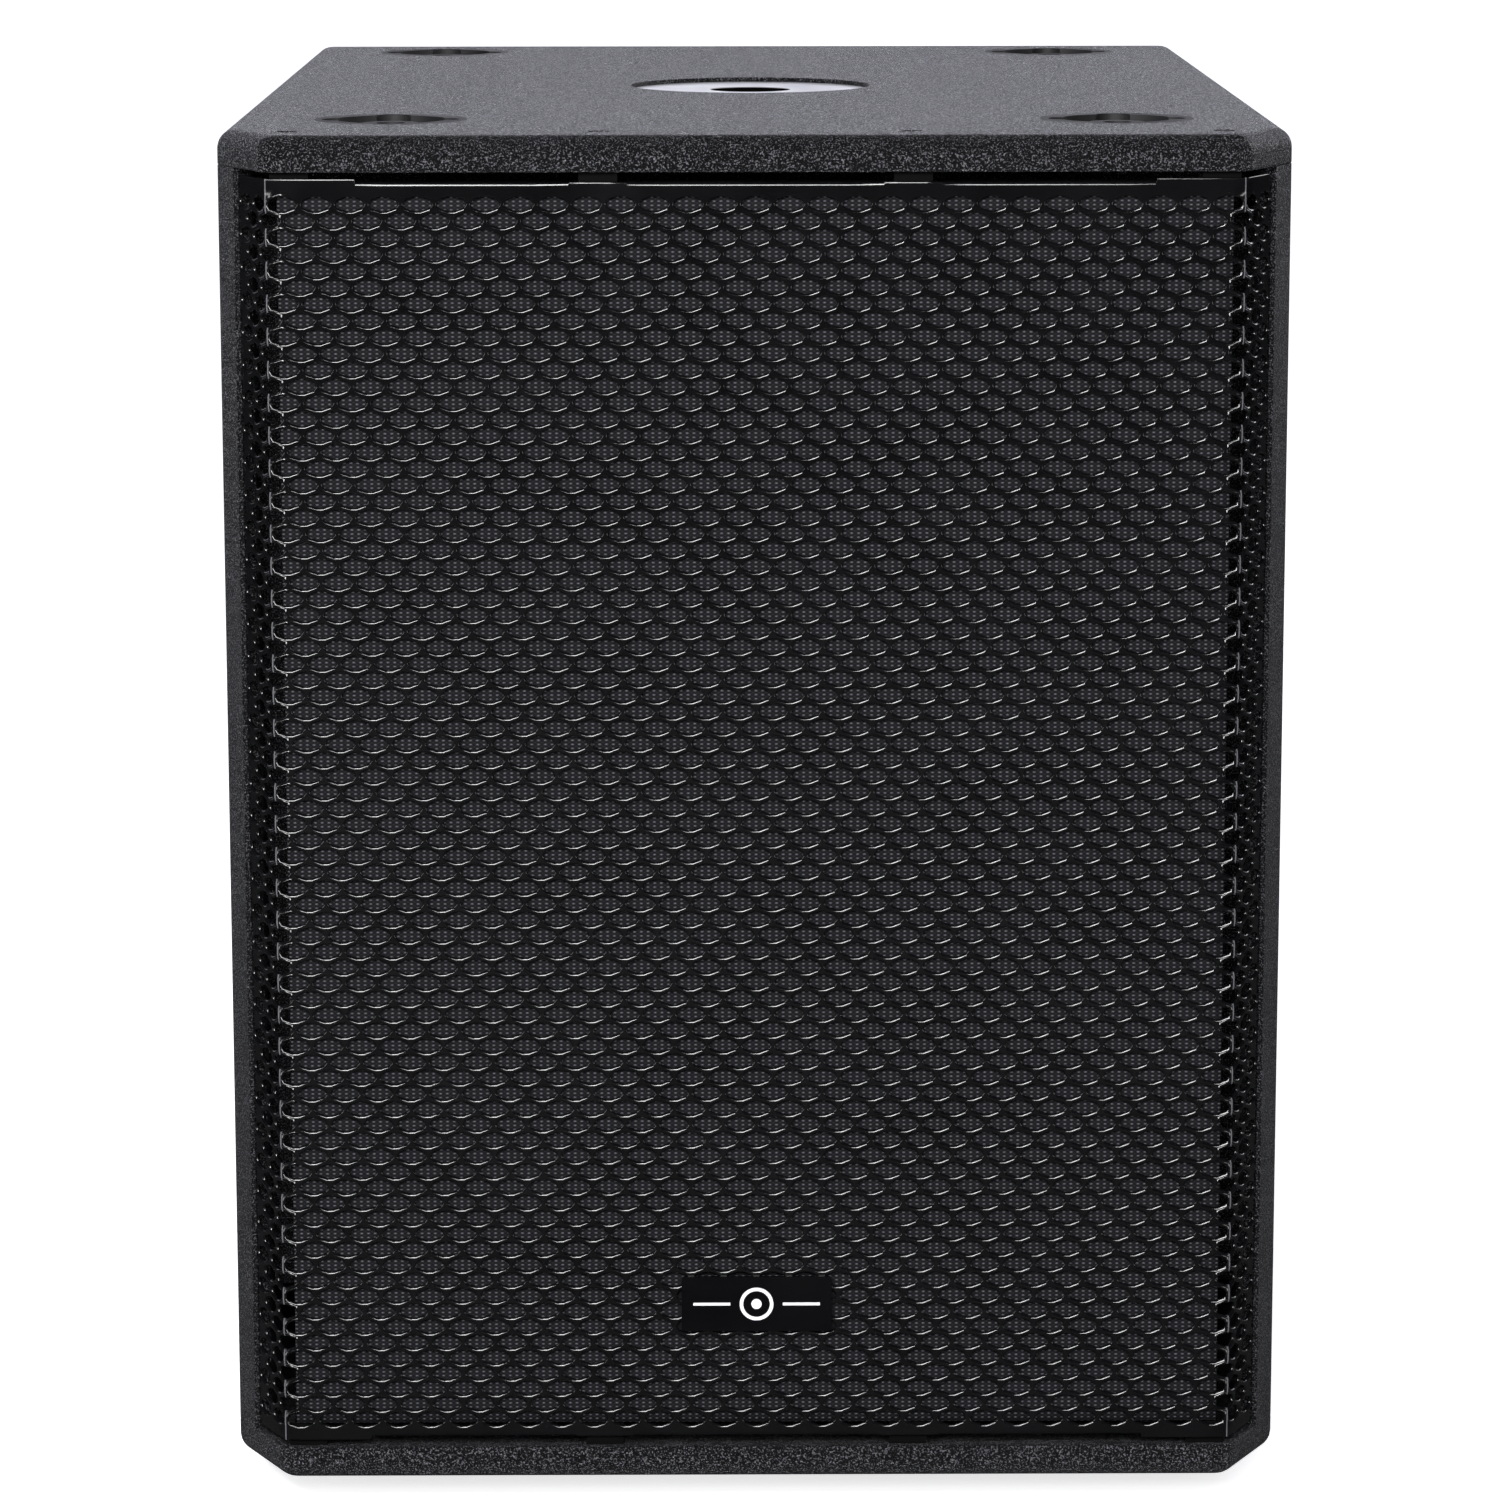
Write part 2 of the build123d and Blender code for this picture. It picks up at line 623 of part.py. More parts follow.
def handle_cup():
    flange = rounded_slab(HANDLE_LENGTH, HANDLE_HEIGHT, HANDLE_FLANGE, HANDLE_ROUND)
    flange = Pos(0, 0, HANDLE_FLANGE) * flange
    rim = flange.faces().sort_by(Axis.Z)[-1].edges()
    flange = fillet(rim, HANDLE_FLANGE * 0.6)
    length = HANDLE_LENGTH - 2 * HANDLE_MARGIN
    height = HANDLE_HEIGHT - 2 * HANDLE_MARGIN
    cup = flange + rounded_slab(length, height, HANDLE_DEPTH, HANDLE_ROUND)
    hollow = rounded_slab(
        length - 2 * HANDLE_WALL,
        height - 2 * HANDLE_WALL,
        HANDLE_DEPTH - HANDLE_WALL + HANDLE_FLANGE,
        HANDLE_ROUND - HANDLE_WALL,
    )
    cup -= Pos(0, 0, HANDLE_FLANGE) * hollow
    for x, y in handle_screw_spots():
        cup -= Pos(x, y, 0) * Cylinder(PANEL_SCREW_R + HOLE_PLAY, HANDLE_FLANGE * 3)
    return handle_place() * cup


def handle_screw_spots():
    x = HANDLE_LENGTH / 2 - HANDLE_MARGIN / 2
    y = HANDLE_HEIGHT / 2 - HANDLE_MARGIN / 2
    inset = HANDLE_ROUND * 0.4
    return [(sx * (x - inset), sy * y) for sx in (-1, 1) for sy in (-1, 1)]


def handle_grip():
    """A round bar with a swollen middle, held between the ends of the cup."""
    half = HANDLE_LENGTH / 2 - HANDLE_MARGIN - HANDLE_WALL
    waist = GRIP_R * 0.8
    section = [
        (0, -half),
        (waist, -half),
        (waist, -half * 0.82),
        (GRIP_R, -half * 0.7),
        (GRIP_R, half * 0.7),
        (waist, half * 0.82),
        (waist, half),
        (0, half),
    ]
    return handle_place() * Pos(0, GRIP_RAISE, -GRIP_SINK) * Rot(Y=90) * turned(section)


def trim_screw():
    """The screw that holds both the handles and the input plate."""
    return screw(PANEL_SCREW_R, PANEL - 2, TRIM_HEAD_R, PANEL_SCREW_HEAD)


def pilot_holes(place, spots):
    hole = Cylinder(PANEL_SCREW_R + HOLE_PLAY, 2 * PANEL)
    return group(place * Pos(x, y, 0) * hole for x, y in spots)


def trim_screws():
    one = trim_screw()
    side = [handle_place() * Pos(x, y, HANDLE_FLANGE) * one for x, y in handle_screw_spots()]
    rear = [dish_place() * Pos(x, y, DISH_SHEET) * one for x, y in dish_screw_spots()]
    return group(side + [mirrored(s) for s in side] + rear)


# Rear connectors


def dish_place():
    """On the rear panel's outer face, local Z backwards and local Y up."""
    return Plane(origin=(0, REAR_OUTER_Y, DISH_Z), x_dir=(-1, 0, 0), z_dir=(0, 1, 0)).location


def input_plate():
    flange = Pos(0, 0, DISH_SHEET) * rounded_slab(DISH_WIDTH, DISH_HEIGHT, DISH_SHEET, DISH_ROUND)
    length = DISH_WIDTH - 2 * DISH_MARGIN
    height = DISH_HEIGHT - 2 * DISH_MARGIN
    plate = flange + rounded_slab(length, height, DISH_DEPTH, DISH_ROUND)
    hollow = rounded_slab(
        length - 2 * DISH_SHEET, height - 2 * DISH_SHEET, DISH_DEPTH, DISH_ROUND - DISH_SHEET
    )
    plate -= Pos(0, 0, DISH_SHEET) * hollow
    for x in SOCKETS_X:
        plate -= Pos(x, 0, 0) * Cylinder(SOCKET_BODY_R + HOLE_PLAY, DISH_DEPTH * 3)
        for sx, sy in socket_screw_spots():
            hole = Cylinder(1.5 + HOLE_PLAY, DISH_DEPTH * 3)
            plate -= Pos(x + sx, sy, 0) * hole
    for x, y in dish_screw_spots():
        plate -= Pos(x, y, 0) * Cylinder(PANEL_SCREW_R + HOLE_PLAY, DISH_SHEET * 3)
    return dish_place() * plate


def dish_screw_spots():
    x = DISH_WIDTH / 2 - DISH_MARGIN / 2
    y = DISH_HEIGHT / 2 - DISH_MARGIN / 2
    return [(sx * x, sy * y) for sx in (-1, 0, 1) for sy in (-1, 1)]


def socket_screw_spots():
    x = SOCKET_FLANGE_WIDTH / 2 - 3.5
    y = SOCKET_FLANGE_HEIGHT / 2 - 3.5
    return [(x, y), (-x, -y)]


def speaker_socket(x):
    """A round four-pole socket: square flange, blind bore and a keyed collar."""
    socket = Pos(0, 0, SOCKET_FLANGE) * rounded_slab(
        SOCKET_FLANGE_WIDTH, SOCKET_FLANGE_HEIGHT, SOCKET_FLANGE, 3.0
    )
    socket += Cylinder(SOCKET_BODY_R, SOCKET_BODY, align=DOWN)
    socket += ring(SOCKET_BORE_R, SOCKET_BORE_R + 2, 0, SOCKET_FLANGE + 1.5)
    bore = SOCKET_BODY - SOCKET_FLOOR
    socket -= Pos(0, 0, SOCKET_FLANGE + 2) * Cylinder(SOCKET_BORE_R, bore + SOCKET_FLANGE + 2, align=DOWN)
    for sx, sy in socket_screw_spots():
        socket -= Pos(sx, sy, 0) * Cylinder(1.5 + HOLE_PLAY, SOCKET_FLANGE * 3)
    depth = DISH_DEPTH - DISH_SHEET
    return dish_place() * Pos(x, 0, -depth) * socket


def socket_contacts():
    """Four flat contact blades in each socket, with solder tails behind it."""
    blade = Box(1.2, 4.0, 18.0, align=UP)
    spots = []
    for x in SOCKETS_X:
        for turn in range(4):
            spots.append(Pos(x, 0, 0) * Rot(Z=45 + 90 * turn) * Pos(SOCKET_BORE_R - 1.1, 0, 0))
    low = -SOCKET_BODY + SOCKET_FLOOR
    depth = DISH_DEPTH - DISH_SHEET
    return group(dish_place() * Pos(0, 0, -depth + low) * spot * blade for spot in spots)


def socket_screws():
    one = screw(1.5, 8, 2.6, 1.6)
    depth = DISH_DEPTH - DISH_SHEET
    return group(
        dish_place() * Pos(x + sx, sy, SOCKET_FLANGE - depth) * one
        for x in SOCKETS_X
        for sx, sy in socket_screw_spots()
    )


# Driver


def driver_place():
    """Local Z runs backwards from the front of the baffle."""
    return Location((0, BAFFLE_Y, DRIVER_Z), (-90, 0, 0))


def bolt_spots():
    step = 360 / BOLT_COUNT
    return [
        Rot(Z=step * (n + 0.5)) * Pos(BOLT_CIRCLE_R, 0, 0) for n in range(BOLT_COUNT)
    ]


RIM_FACE = -(GASKET_THICK + RIM_THICK)


def basket():
    """A pressed frame: rim, sloping wall with windows, spider ledge and back ring."""
    section = [
        (SURROUND_LAND_R, RIM_FACE),
        (RIM_R, RIM_FACE),
        (RIM_R, -GASKET_THICK),
        (BASKET_WALL_R, -GASKET_THICK),
        (BASKET_WALL_R, BAFFLE_THICK - 4),
        (BASKET_RING_R, SPIDER_DEPTH - 2),
        (BASKET_RING_R, SPIDER_DEPTH + 4),
        (BASKET_BACK_R, BASKET_BACK),
        (60, BASKET_BACK),
        (60, BASKET_BACK - 4),
        (BASKET_BACK_R - 5, BASKET_BACK - 4),
        (SPIDER_R - 9, SPIDER_DEPTH + 8),
        (SPIDER_R - 9, SPIDER_DEPTH),
        (SPIDER_R + 0.5, SPIDER_DEPTH),
        (SPIDER_R + 0.5, SPIDER_DEPTH - 4),
        (BASKET_WALL_R - 4, BAFFLE_THICK - 8),
        (BASKET_WALL_R - 4, RIM_FACE + 4),
        (SURROUND_LAND_R, RIM_FACE + 4),
    ]
    frame = turned(section)
    low = BAFFLE_THICK + 2
    high = SPIDER_DEPTH - 8
    window = Plane.XZ * Polygon((BASKET_RING_R - 6, low), (RIM_R, low), (RIM_R, high), (BASKET_RING_R - 6, high), align=None)
    arc = 360 / BASKET_WINDOWS - 18
    cutter = revolve(window, Axis.Z, revolution_arc=arc)
    for n in range(BASKET_WINDOWS):
        frame -= Rot(Z=n * 360 / BASKET_WINDOWS + 9) * cutter
    for spot in bolt_spots():
        frame -= spot * Cylinder(BOLT_R + HOLE_PLAY, PANEL * 3)
    return driver_place() * frame


def driver_gasket():
    seal = ring(CUTOUT_R + 1, RIM_R - 1, -GASKET_THICK, 0)
    for spot in bolt_spots():
        seal -= spot * Cylinder(BOLT_R + HOLE_PLAY, PANEL)
    return driver_place() * seal


def driver_bolts():
    length = GASKET_THICK + RIM_THICK + BAFFLE_THICK + 3
    one = Pos(0, 0, RIM_FACE) * Rot(X=180) * screw(BOLT_R, length, BOLT_HEAD_R, BOLT_HEAD)
    return group(driver_place() * spot * one for spot in bolt_spots())


def tee_nuts():
    """One size of tee nut takes the driver's bolts and the feet's bolts."""
    one = Rot(X=180) * tee_nut(BOLT_R + HOLE_PLAY)
    found = [Pos(x, y, INNER_BOTTOM) * one for x, y in STACK_SPOTS]
    behind = driver_place() * Pos(0, 0, BAFFLE_THICK)
    return group(found + [behind * spot * one for spot in bolt_spots()])


def cone_face(radius):
    """Depth of the front of the paper at a radius: a straight-sided cone."""
    fall = (NECK_DEPTH - RIM_FACE) / (CONE_R - CONE_LIP - FORMER_R)
    return NECK_DEPTH - (radius - FORMER_R) * fall


def cone():
    edge = CONE_R - CONE_LIP
    section = [
        (FORMER_R, cone_face(FORMER_R)),
        (edge, RIM_FACE),
        (CONE_R, RIM_FACE),
        (CONE_R, RIM_FACE + CONE_WALL),
        (edge, RIM_FACE + CONE_WALL),
        (FORMER_R, cone_face(FORMER_R) + 2 * CONE_WALL),
    ]
    return driver_place() * turned(section)


def dust_cap():
    """A shallow dome glued on the cone, cut where it meets the paper."""
    edge = cone_face(DUST_CAP_R)
    ball = (DUST_CAP_R**2 + DUST_CAP_RISE**2) / (2 * DUST_CAP_RISE)
    middle = Pos(0, 0, edge - DUST_CAP_RISE + ball)
    shell = middle * Sphere(ball) - middle * Sphere(ball - DUST_CAP_WALL)
    fall = (cone_face(0) - edge) / DUST_CAP_R
    reach = DUST_CAP_R + 10
    front = [(0, cone_face(0)), (0, -reach), (reach, -reach), (reach, cone_face(0) - fall * reach)]
    return driver_place() * (shell & turned(front))


def surround():
    """A half-roll rubber ring between the cone's lip and the rim of the basket."""
    middle = (CONE_R + SURROUND_LAND_R) / 2
    roll = (SURROUND_LAND_R - CONE_R) / 2 + SURROUND_THICK / 2
    face = RIM_FACE
    land = face - SURROUND_THICK
    half = Circle(roll) - Circle(roll - SURROUND_THICK)
    half -= Pos(0, roll) * Rectangle(4 * roll, 2 * roll)
    skin = revolve(Plane.XZ * Pos(middle, face) * half, Axis.Z)
    skin += ring(CONE_R - CONE_LIP, CONE_R, land, face)
    skin += ring(SURROUND_LAND_R, SURROUND_LAND_R + 8, land, face)
    return driver_place() * skin


def spider():
    """A corrugated cloth disc that centres the coil."""
    start = FORMER_R + 3
    end = SPIDER_R - 9
    step = (end - start) / (2 * SPIDER_WAVES)
    level = SPIDER_DEPTH - SPIDER_THICK
    waves = [(start + n * step, level - (SPIDER_WAVE if n % 2 else 0)) for n in range(2 * SPIDER_WAVES + 1)]
    front = [(FORMER_R, level)] + waves + [(SPIDER_R, level)]
    back = [(r, d + SPIDER_THICK) for r, d in reversed(front)]
    return driver_place() * turned(front + back)


def voice_coil_former():
    start = NECK_DEPTH - 2
    end = COIL_START + COIL_HEIGHT
    return driver_place() * ring(FORMER_R - FORMER_WALL, FORMER_R, start, end)


def voice_coil():
    end = COIL_START + COIL_HEIGHT
    return driver_place() * ring(FORMER_R, FORMER_R + COIL_WALL, COIL_START, end)


def top_plate():
    bore = FORMER_R + COIL_WALL + GAP_OUTSIDE
    return driver_place() * ring(bore, PLATE_R, BASKET_BACK, BASKET_BACK + PLATE_THICK)


def magnet():
    start = BASKET_BACK + PLATE_THICK
    disc = ring(MAGNET_HOLE_R, MAGNET_R, start, start + MAGNET_THICK)
    return driver_place() * disc


def pole_yoke():
    """Back plate and pole in one piece, with a vent through the middle."""
    base = BASKET_BACK + PLATE_THICK + MAGNET_THICK
    pole_r = FORMER_R - FORMER_WALL - GAP_INSIDE
    yoke = ring(VENT_R, PLATE_R, base, base + PLATE_THICK)
    yoke += ring(VENT_R, pole_r, BASKET_BACK - 2, base)
    return driver_place() * yoke


def driver_terminals():
    """A block on the lowest spoke of the basket. Local Y points down."""
    body = Pos(0, BASKET_RING_R + 4, SPIDER_DEPTH + 1) * Box(34, 20, 6)
    body -= Cylinder(BASKET_RING_R, 400)
    post = Cylinder(POST_R, POST_LENGTH, align=UP)
    tags = [Pos(x, BASKET_RING_R + 7, SPIDER_DEPTH + 4) * post for x in POSTS_X]
    return driver_place() * group([body] + tags)


# Crossover


def board_place():
    return Pos(BOARD_X, BOARD_Y, BOARD_TOP)


def board_corners():
    x = BOARD_WIDTH / 2 - 6
    y = BOARD_DEPTH / 2 - 6
    return [(sx * x, sy * y) for sx in (-1, 1) for sy in (-1, 1)]


def crossover_board():
    board = Box(BOARD_WIDTH, BOARD_DEPTH, BOARD_THICK, align=DOWN)
    for x, y in board_corners():
        board -= Pos(x, y, 0) * Cylinder(PANEL_SCREW_R + HOLE_PLAY, PANEL)
    return board_place() * board


def board_standoffs():
    one = ring(PANEL_SCREW_R + HOLE_PLAY, STANDOFF_R, -BOARD_THICK - STANDOFF, -BOARD_THICK)
    return group(board_place() * Pos(x, y, 0) * one for x, y in board_corners())


def board_screws():
    one = screw(PANEL_SCREW_R, BOARD_THICK + STANDOFF - 0.2, 3.6, PANEL_SCREW_HEAD)
    return group(board_place() * Pos(x, y, 0) * one for x, y in board_corners())


def coil_spot():
    return board_place() * Pos(BOARD_WIDTH / 2 - COIL_SPOOL_R - 14, 0, 0)


def inductor_bobbin():
    spool = ring(10, 13, 0, COIL_SPOOL_HEIGHT)
    for low in (0, COIL_SPOOL_HEIGHT - 2):
        spool += ring(10, COIL_SPOOL_R, low, low + 2)
    return coil_spot() * spool


def inductor_winding():
    return coil_spot() * ring(13, COIL_SPOOL_R - 2, 2, COIL_SPOOL_HEIGHT - 2)


def capacitors():
    can = Rot(Y=90) * Cylinder(CAPACITOR_R, CAPACITOR_LENGTH)
    x = 16 + CAPACITOR_LENGTH / 2 - BOARD_WIDTH / 2
    step = 2 * CAPACITOR_R + 3
    return group(board_place() * Pos(x, n * step - step / 2, CAPACITOR_R) * can for n in range(2))


def power_resistor():
    x = 16 + RESISTOR_LENGTH / 2 - BOARD_WIDTH / 2
    body = Box(RESISTOR_LENGTH, RESISTOR_SIDE, RESISTOR_SIDE, align=UP)
    return board_place() * Pos(x, BOARD_DEPTH / 2 - 14, 0) * fillet(body.edges().filter_by(Axis.X), 1)


def wire(points):
    """A round lead: straight runs joined by arcs as large as the runs allow."""
    radii = []
    for before, here, after in zip(points, points[1:], points[2:]):
        first = Vector(*here) - Vector(*before)
        second = Vector(*after) - Vector(*here)
        half_turn = math.radians(first.get_angle(second)) / 2
        radii.append(0.45 * min(first.length, second.length) / math.tan(half_turn))
    print("wire arc radii", [round(r, 1) for r in radii])
    path = FilletPolyline(*points, radius=radii)
    start = Plane(path @ 0, z_dir=path % 0)
    return sweep(start * Circle(WIRE_R), path=path)


def input_leads():
    """Two leads from the back of the input socket down to the board."""
    back = DISH_FACE_Y - SOCKET_BODY
    found = []
    for side in (-1, 1):
        x = side * 5 - SOCKETS_X[0]
        end_x = BOARD_X - BOARD_WIDTH / 2 + 7
        end_y = BOARD_Y + side * 6
        drop = DISH_Z - BOARD_TOP
        found.append(
            wire(
                [
                    (x, back, DISH_Z),
                    (x, back - 28, DISH_Z),
                    (x - 2, back - 42, DISH_Z - 36),
                    (x, end_y + 18, BOARD_TOP + drop * 0.45),
                    (end_x, end_y, BOARD_TOP + 36),
                    (end_x, end_y, BOARD_TOP),
                ]
            )
        )
    return group(found)


def driver_leads():
    """Two leads from the board, through the brace's window, to the driver."""
    found = []
    low = SHELF_TOP + BRACE_RIM
    for side in (-1, 1):
        start_x = BOARD_X - BOARD_WIDTH / 2 + 24 + side * 6
        post_x = POSTS_X[0] if side < 0 else POSTS_X[1]
        post_y = BAFFLE_Y + SPIDER_DEPTH + 4 + POST_LENGTH
        post_z = DRIVER_Z - BASKET_RING_R - 7
        start_y = BOARD_Y - BOARD_DEPTH / 2 + 8
        found.append(
            wire(
                [
                    (start_x, start_y, BOARD_TOP),
                    (start_x, start_y, BOARD_TOP + 45),
                    (start_x - 3, start_y - 12, low - 30),
                    (start_x - 6, BRACE_BACK_Y + 20, low + 14),
                    (start_x - 10, BRACE_Y - 60, low + 8),
                    (post_x + 3, post_y + 110, low + 12),
                    (post_x, post_y + 55, post_z),
                    (post_x, post_y, post_z),
                ]
            )
        )
    return group(found)


# Cabinet
save("top_panel", top_panel())
save("bottom_panel", bottom_panel())
right_side = side_panel()
save("right_side_panel", right_side)
save("left_side_panel", mirrored(right_side))
save("rear_panel", rear_panel())
save("baffle", baffle())
save("port_shelf", port_shelf())
save("port_divider", port_divider())
save("window_brace", window_brace())
save("rear_wadding", rear_wadding())
save("side_wadding", side_wadding())

# Front
save("grille", grille())
save("grille_scrim", grille_scrim())
save("grille_tabs", grille_tabs())
save("grille_screws", grille_screws())
save("badge", badge())
save("badge_emblem", badge_emblem())

# Top and bottom fittings
save("pole_cup", pole_cup())
save("pole_cup_nut", pole_cup_nut())
cup_names = ("front_left", "front_right", "rear_left", "rear_right")
for cup_name, (cup_x, cup_y) in zip(cup_names, STACK_SPOTS):
    save(f"{cup_name}_stacking_cup", Pos(cup_x, cup_y, BOX_TOP) * stacking_cup())
save("stacking_cup_screws", cup_screws())
save("stacking_cup_nuts", cup_nuts())
save("rubber_feet", feet())
save("foot_bolts", foot_bolts())

# Handles
right_cup = handle_cup()
right_grip = handle_grip()
save("right_handle_cup", right_cup)
save("left_handle_cup", mirrored(right_cup))
save("right_handle_grip", right_grip)
save("left_handle_grip", mirrored(right_grip))

# Rear connectors
save("input_plate", input_plate())
save("trim_screws", trim_screws())
save("input_socket", speaker_socket(SOCKETS_X[0]))
save("link_socket", speaker_socket(SOCKETS_X[1]))
save("socket_contacts", socket_contacts())
save("socket_screws", socket_screws())

# Driver
save("driver_basket", basket())
save("driver_gasket", driver_gasket())
save("driver_bolts", driver_bolts())
save("tee_nuts", tee_nuts())
save("cone", cone())
save("dust_cap", dust_cap())
save("surround", surround())
save("spider", spider())
save("voice_coil_former", voice_coil_former())
save("voice_coil", voice_coil())
save("top_plate", top_plate())
save("magnet", magnet())
save("pole_yoke", pole_yoke())
save("driver_terminals", driver_terminals())

# Crossover and wiring
save("crossover_board", crossover_board())
save("board_standoffs", board_standoffs())
save("board_screws", board_screws())
save("inductor_bobbin", inductor_bobbin())
save("inductor_winding", inductor_winding())
save("capacitors", capacitors())
save("power_resistor", power_resistor())
save("input_leads", input_leads())
save("driver_leads", driver_leads())
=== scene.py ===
import bpy
import math
import numpy as np
from mathutils import Matrix, Vector


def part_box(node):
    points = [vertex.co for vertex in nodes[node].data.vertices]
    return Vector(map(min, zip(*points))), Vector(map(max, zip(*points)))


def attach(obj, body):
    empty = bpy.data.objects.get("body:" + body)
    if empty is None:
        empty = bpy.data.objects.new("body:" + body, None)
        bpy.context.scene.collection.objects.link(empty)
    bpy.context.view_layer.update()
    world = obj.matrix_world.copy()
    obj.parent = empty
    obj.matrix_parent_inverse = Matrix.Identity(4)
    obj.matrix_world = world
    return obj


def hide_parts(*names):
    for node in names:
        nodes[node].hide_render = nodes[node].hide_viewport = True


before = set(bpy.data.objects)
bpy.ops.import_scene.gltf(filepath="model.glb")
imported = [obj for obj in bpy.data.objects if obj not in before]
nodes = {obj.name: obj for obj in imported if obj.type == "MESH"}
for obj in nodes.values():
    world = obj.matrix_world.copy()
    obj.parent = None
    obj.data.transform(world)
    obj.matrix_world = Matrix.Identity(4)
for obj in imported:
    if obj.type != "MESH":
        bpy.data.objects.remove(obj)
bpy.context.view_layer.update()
mm = 0.001
print("stage: frame loaded,", len(nodes), "nodes")

gridLow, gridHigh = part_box("grille")
scrimLow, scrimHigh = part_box("grille_scrim")


def newMesh(name, verts, faces, material, smooth=True):
    # an object at the origin from an array of points and a list of faces
    mesh = bpy.data.meshes.new(name)
    mesh.from_pydata(verts.tolist() if hasattr(verts, "tolist") else verts, [], faces)
    mesh.validate()
    mesh.update()
    mesh.polygons.foreach_set("use_smooth", np.full(len(mesh.polygons), smooth, dtype=bool))
    piece = bpy.data.objects.new(name, mesh)
    bpy.context.scene.collection.objects.link(piece)
    mesh.materials.append(material)
    return piece


def paint(material, *names):
    # one finish for several frame nodes
    for name in names:
        piece = nodes[name]
        piece.data.materials.clear()
        piece.data.materials.append(material)


def makeGroup(name, inputs, outputs):
    # a node group with its sockets: inputs as (label, kind), outputs all plain numbers
    tree = bpy.data.node_groups.new(name, "ShaderNodeTree")
    for label, kind in inputs:
        tree.interface.new_socket(name=label, in_out="INPUT", socket_type=kind)
    for label in outputs:
        tree.interface.new_socket(name=label, in_out="OUTPUT", socket_type="NodeSocketFloat")
    start = tree.nodes.new("NodeGroupInput")
    end = tree.nodes.new("NodeGroupOutput")
    return tree, start, end


def mathNode(tree, operation, *values):
    # each value is a number or another node's output
    node = tree.nodes.new("ShaderNodeMath")
    node.operation = operation
    for slot, value in enumerate(values):
        if hasattr(value, "is_linked"):
            tree.links.new(value, node.inputs[slot])
        else:
            node.inputs[slot].default_value = value
    return node.outputs[0]


def rampNode(tree, factor, low, high):
    # a straight rise from 0 at low to 1 at high
    node = tree.nodes.new("ShaderNodeMapRange")
    node.inputs["From Min"].default_value = low
    node.inputs["From Max"].default_value = high
    node.clamp = True
    tree.links.new(factor, node.inputs["Value"])
    return node.outputs[0]


def mixColour(tree, factor, first, second):
    # first (1 - factor) + second factor
    node = tree.nodes.new("ShaderNodeMix")
    node.data_type = "RGBA"
    sockets = [s for s in node.inputs if s.type == "RGBA"]
    for socket, value in zip(sockets, (first, second)):
        if hasattr(value, "is_linked"):
            tree.links.new(value, socket)
        else:
            socket.default_value = (*value, 1.0)
    if hasattr(factor, "is_linked"):
        tree.links.new(factor, node.inputs["Factor"])
    else:
        node.inputs["Factor"].default_value = factor
    return [s for s in node.outputs if s.type == "RGBA"][0]


sprayShape = {
    "blobDetail": 2.0,
    "blobRoughness": 0.55,
    "blobRise": (0.32, 0.7),
    "grainShare": 0.45,
    "crestRise": (0.53, 0.66),
    "patchScale": 9.0,
    "patchDetail": 3.0,
}


def makeSpatter(shape):
    # sprayed coat: height = rise(blobs) + share (1 - distance to a grain), crest = rise(blobs)
    tree, start, end = makeGroup(
        "sprayedCoat",
        [("Vector", "NodeSocketVector"), ("Blob scale", "NodeSocketFloat"), ("Grain scale", "NodeSocketFloat")],
        ["Height", "Crest", "Patch"],
    )
    blobs = tree.nodes.new("ShaderNodeTexNoise")
    blobs.inputs["Detail"].default_value = shape["blobDetail"]
    blobs.inputs["Roughness"].default_value = shape["blobRoughness"]
    tree.links.new(start.outputs["Vector"], blobs.inputs["Vector"])
    tree.links.new(start.outputs["Blob scale"], blobs.inputs["Scale"])
    grain = tree.nodes.new("ShaderNodeTexVoronoi")
    grain.feature = "SMOOTH_F1"
    tree.links.new(start.outputs["Vector"], grain.inputs["Vector"])
    tree.links.new(start.outputs["Grain scale"], grain.inputs["Scale"])
    patch = tree.nodes.new("ShaderNodeTexNoise")
    patch.inputs["Scale"].default_value = shape["patchScale"]
    patch.inputs["Detail"].default_value = shape["patchDetail"]
    tree.links.new(start.outputs["Vector"], patch.inputs["Vector"])
    blobHeight = rampNode(tree, blobs.outputs["Fac"], *shape["blobRise"])
    grainHeight = mathNode(tree, "SUBTRACT", 1.0, grain.outputs["Distance"])
    both = mathNode(tree, "MULTIPLY_ADD", grainHeight, shape["grainShare"], blobHeight)
    tree.links.new(both, end.inputs["Height"])
    tree.links.new(rampNode(tree, blobs.outputs["Fac"], *shape["crestRise"]), end.inputs["Crest"])
    tree.links.new(patch.outputs["Fac"], end.inputs["Patch"])
    return tree


grainShape = {
    "detail": 3.0,
    "toneScale": 30.0,
    "toneDetail": 4.0,
}


def makeFineGrain(shape):
    # fine moulded or powder grain with a slow change of tone, each a plain noise
    tree, start, end = makeGroup(
        "fineGrain",
        [("Vector", "NodeSocketVector"), ("Scale", "NodeSocketFloat")],
        ["Height", "Tone"],
    )
    grain = tree.nodes.new("ShaderNodeTexNoise")
    grain.inputs["Detail"].default_value = shape["detail"]
    tree.links.new(start.outputs["Vector"], grain.inputs["Vector"])
    tree.links.new(start.outputs["Scale"], grain.inputs["Scale"])
    tone = tree.nodes.new("ShaderNodeTexNoise")
    tone.inputs["Scale"].default_value = shape["toneScale"]
    tone.inputs["Detail"].default_value = shape["toneDetail"]
    tree.links.new(start.outputs["Vector"], tone.inputs["Vector"])
    tree.links.new(grain.outputs["Fac"], end.inputs["Height"])
    tree.links.new(tone.outputs["Fac"], end.inputs["Tone"])
    return tree


spatter = makeSpatter(sprayShape)
fineGrain = makeFineGrain(grainShape)
toneRise = (0.35, 0.7)
print("stage: node groups")


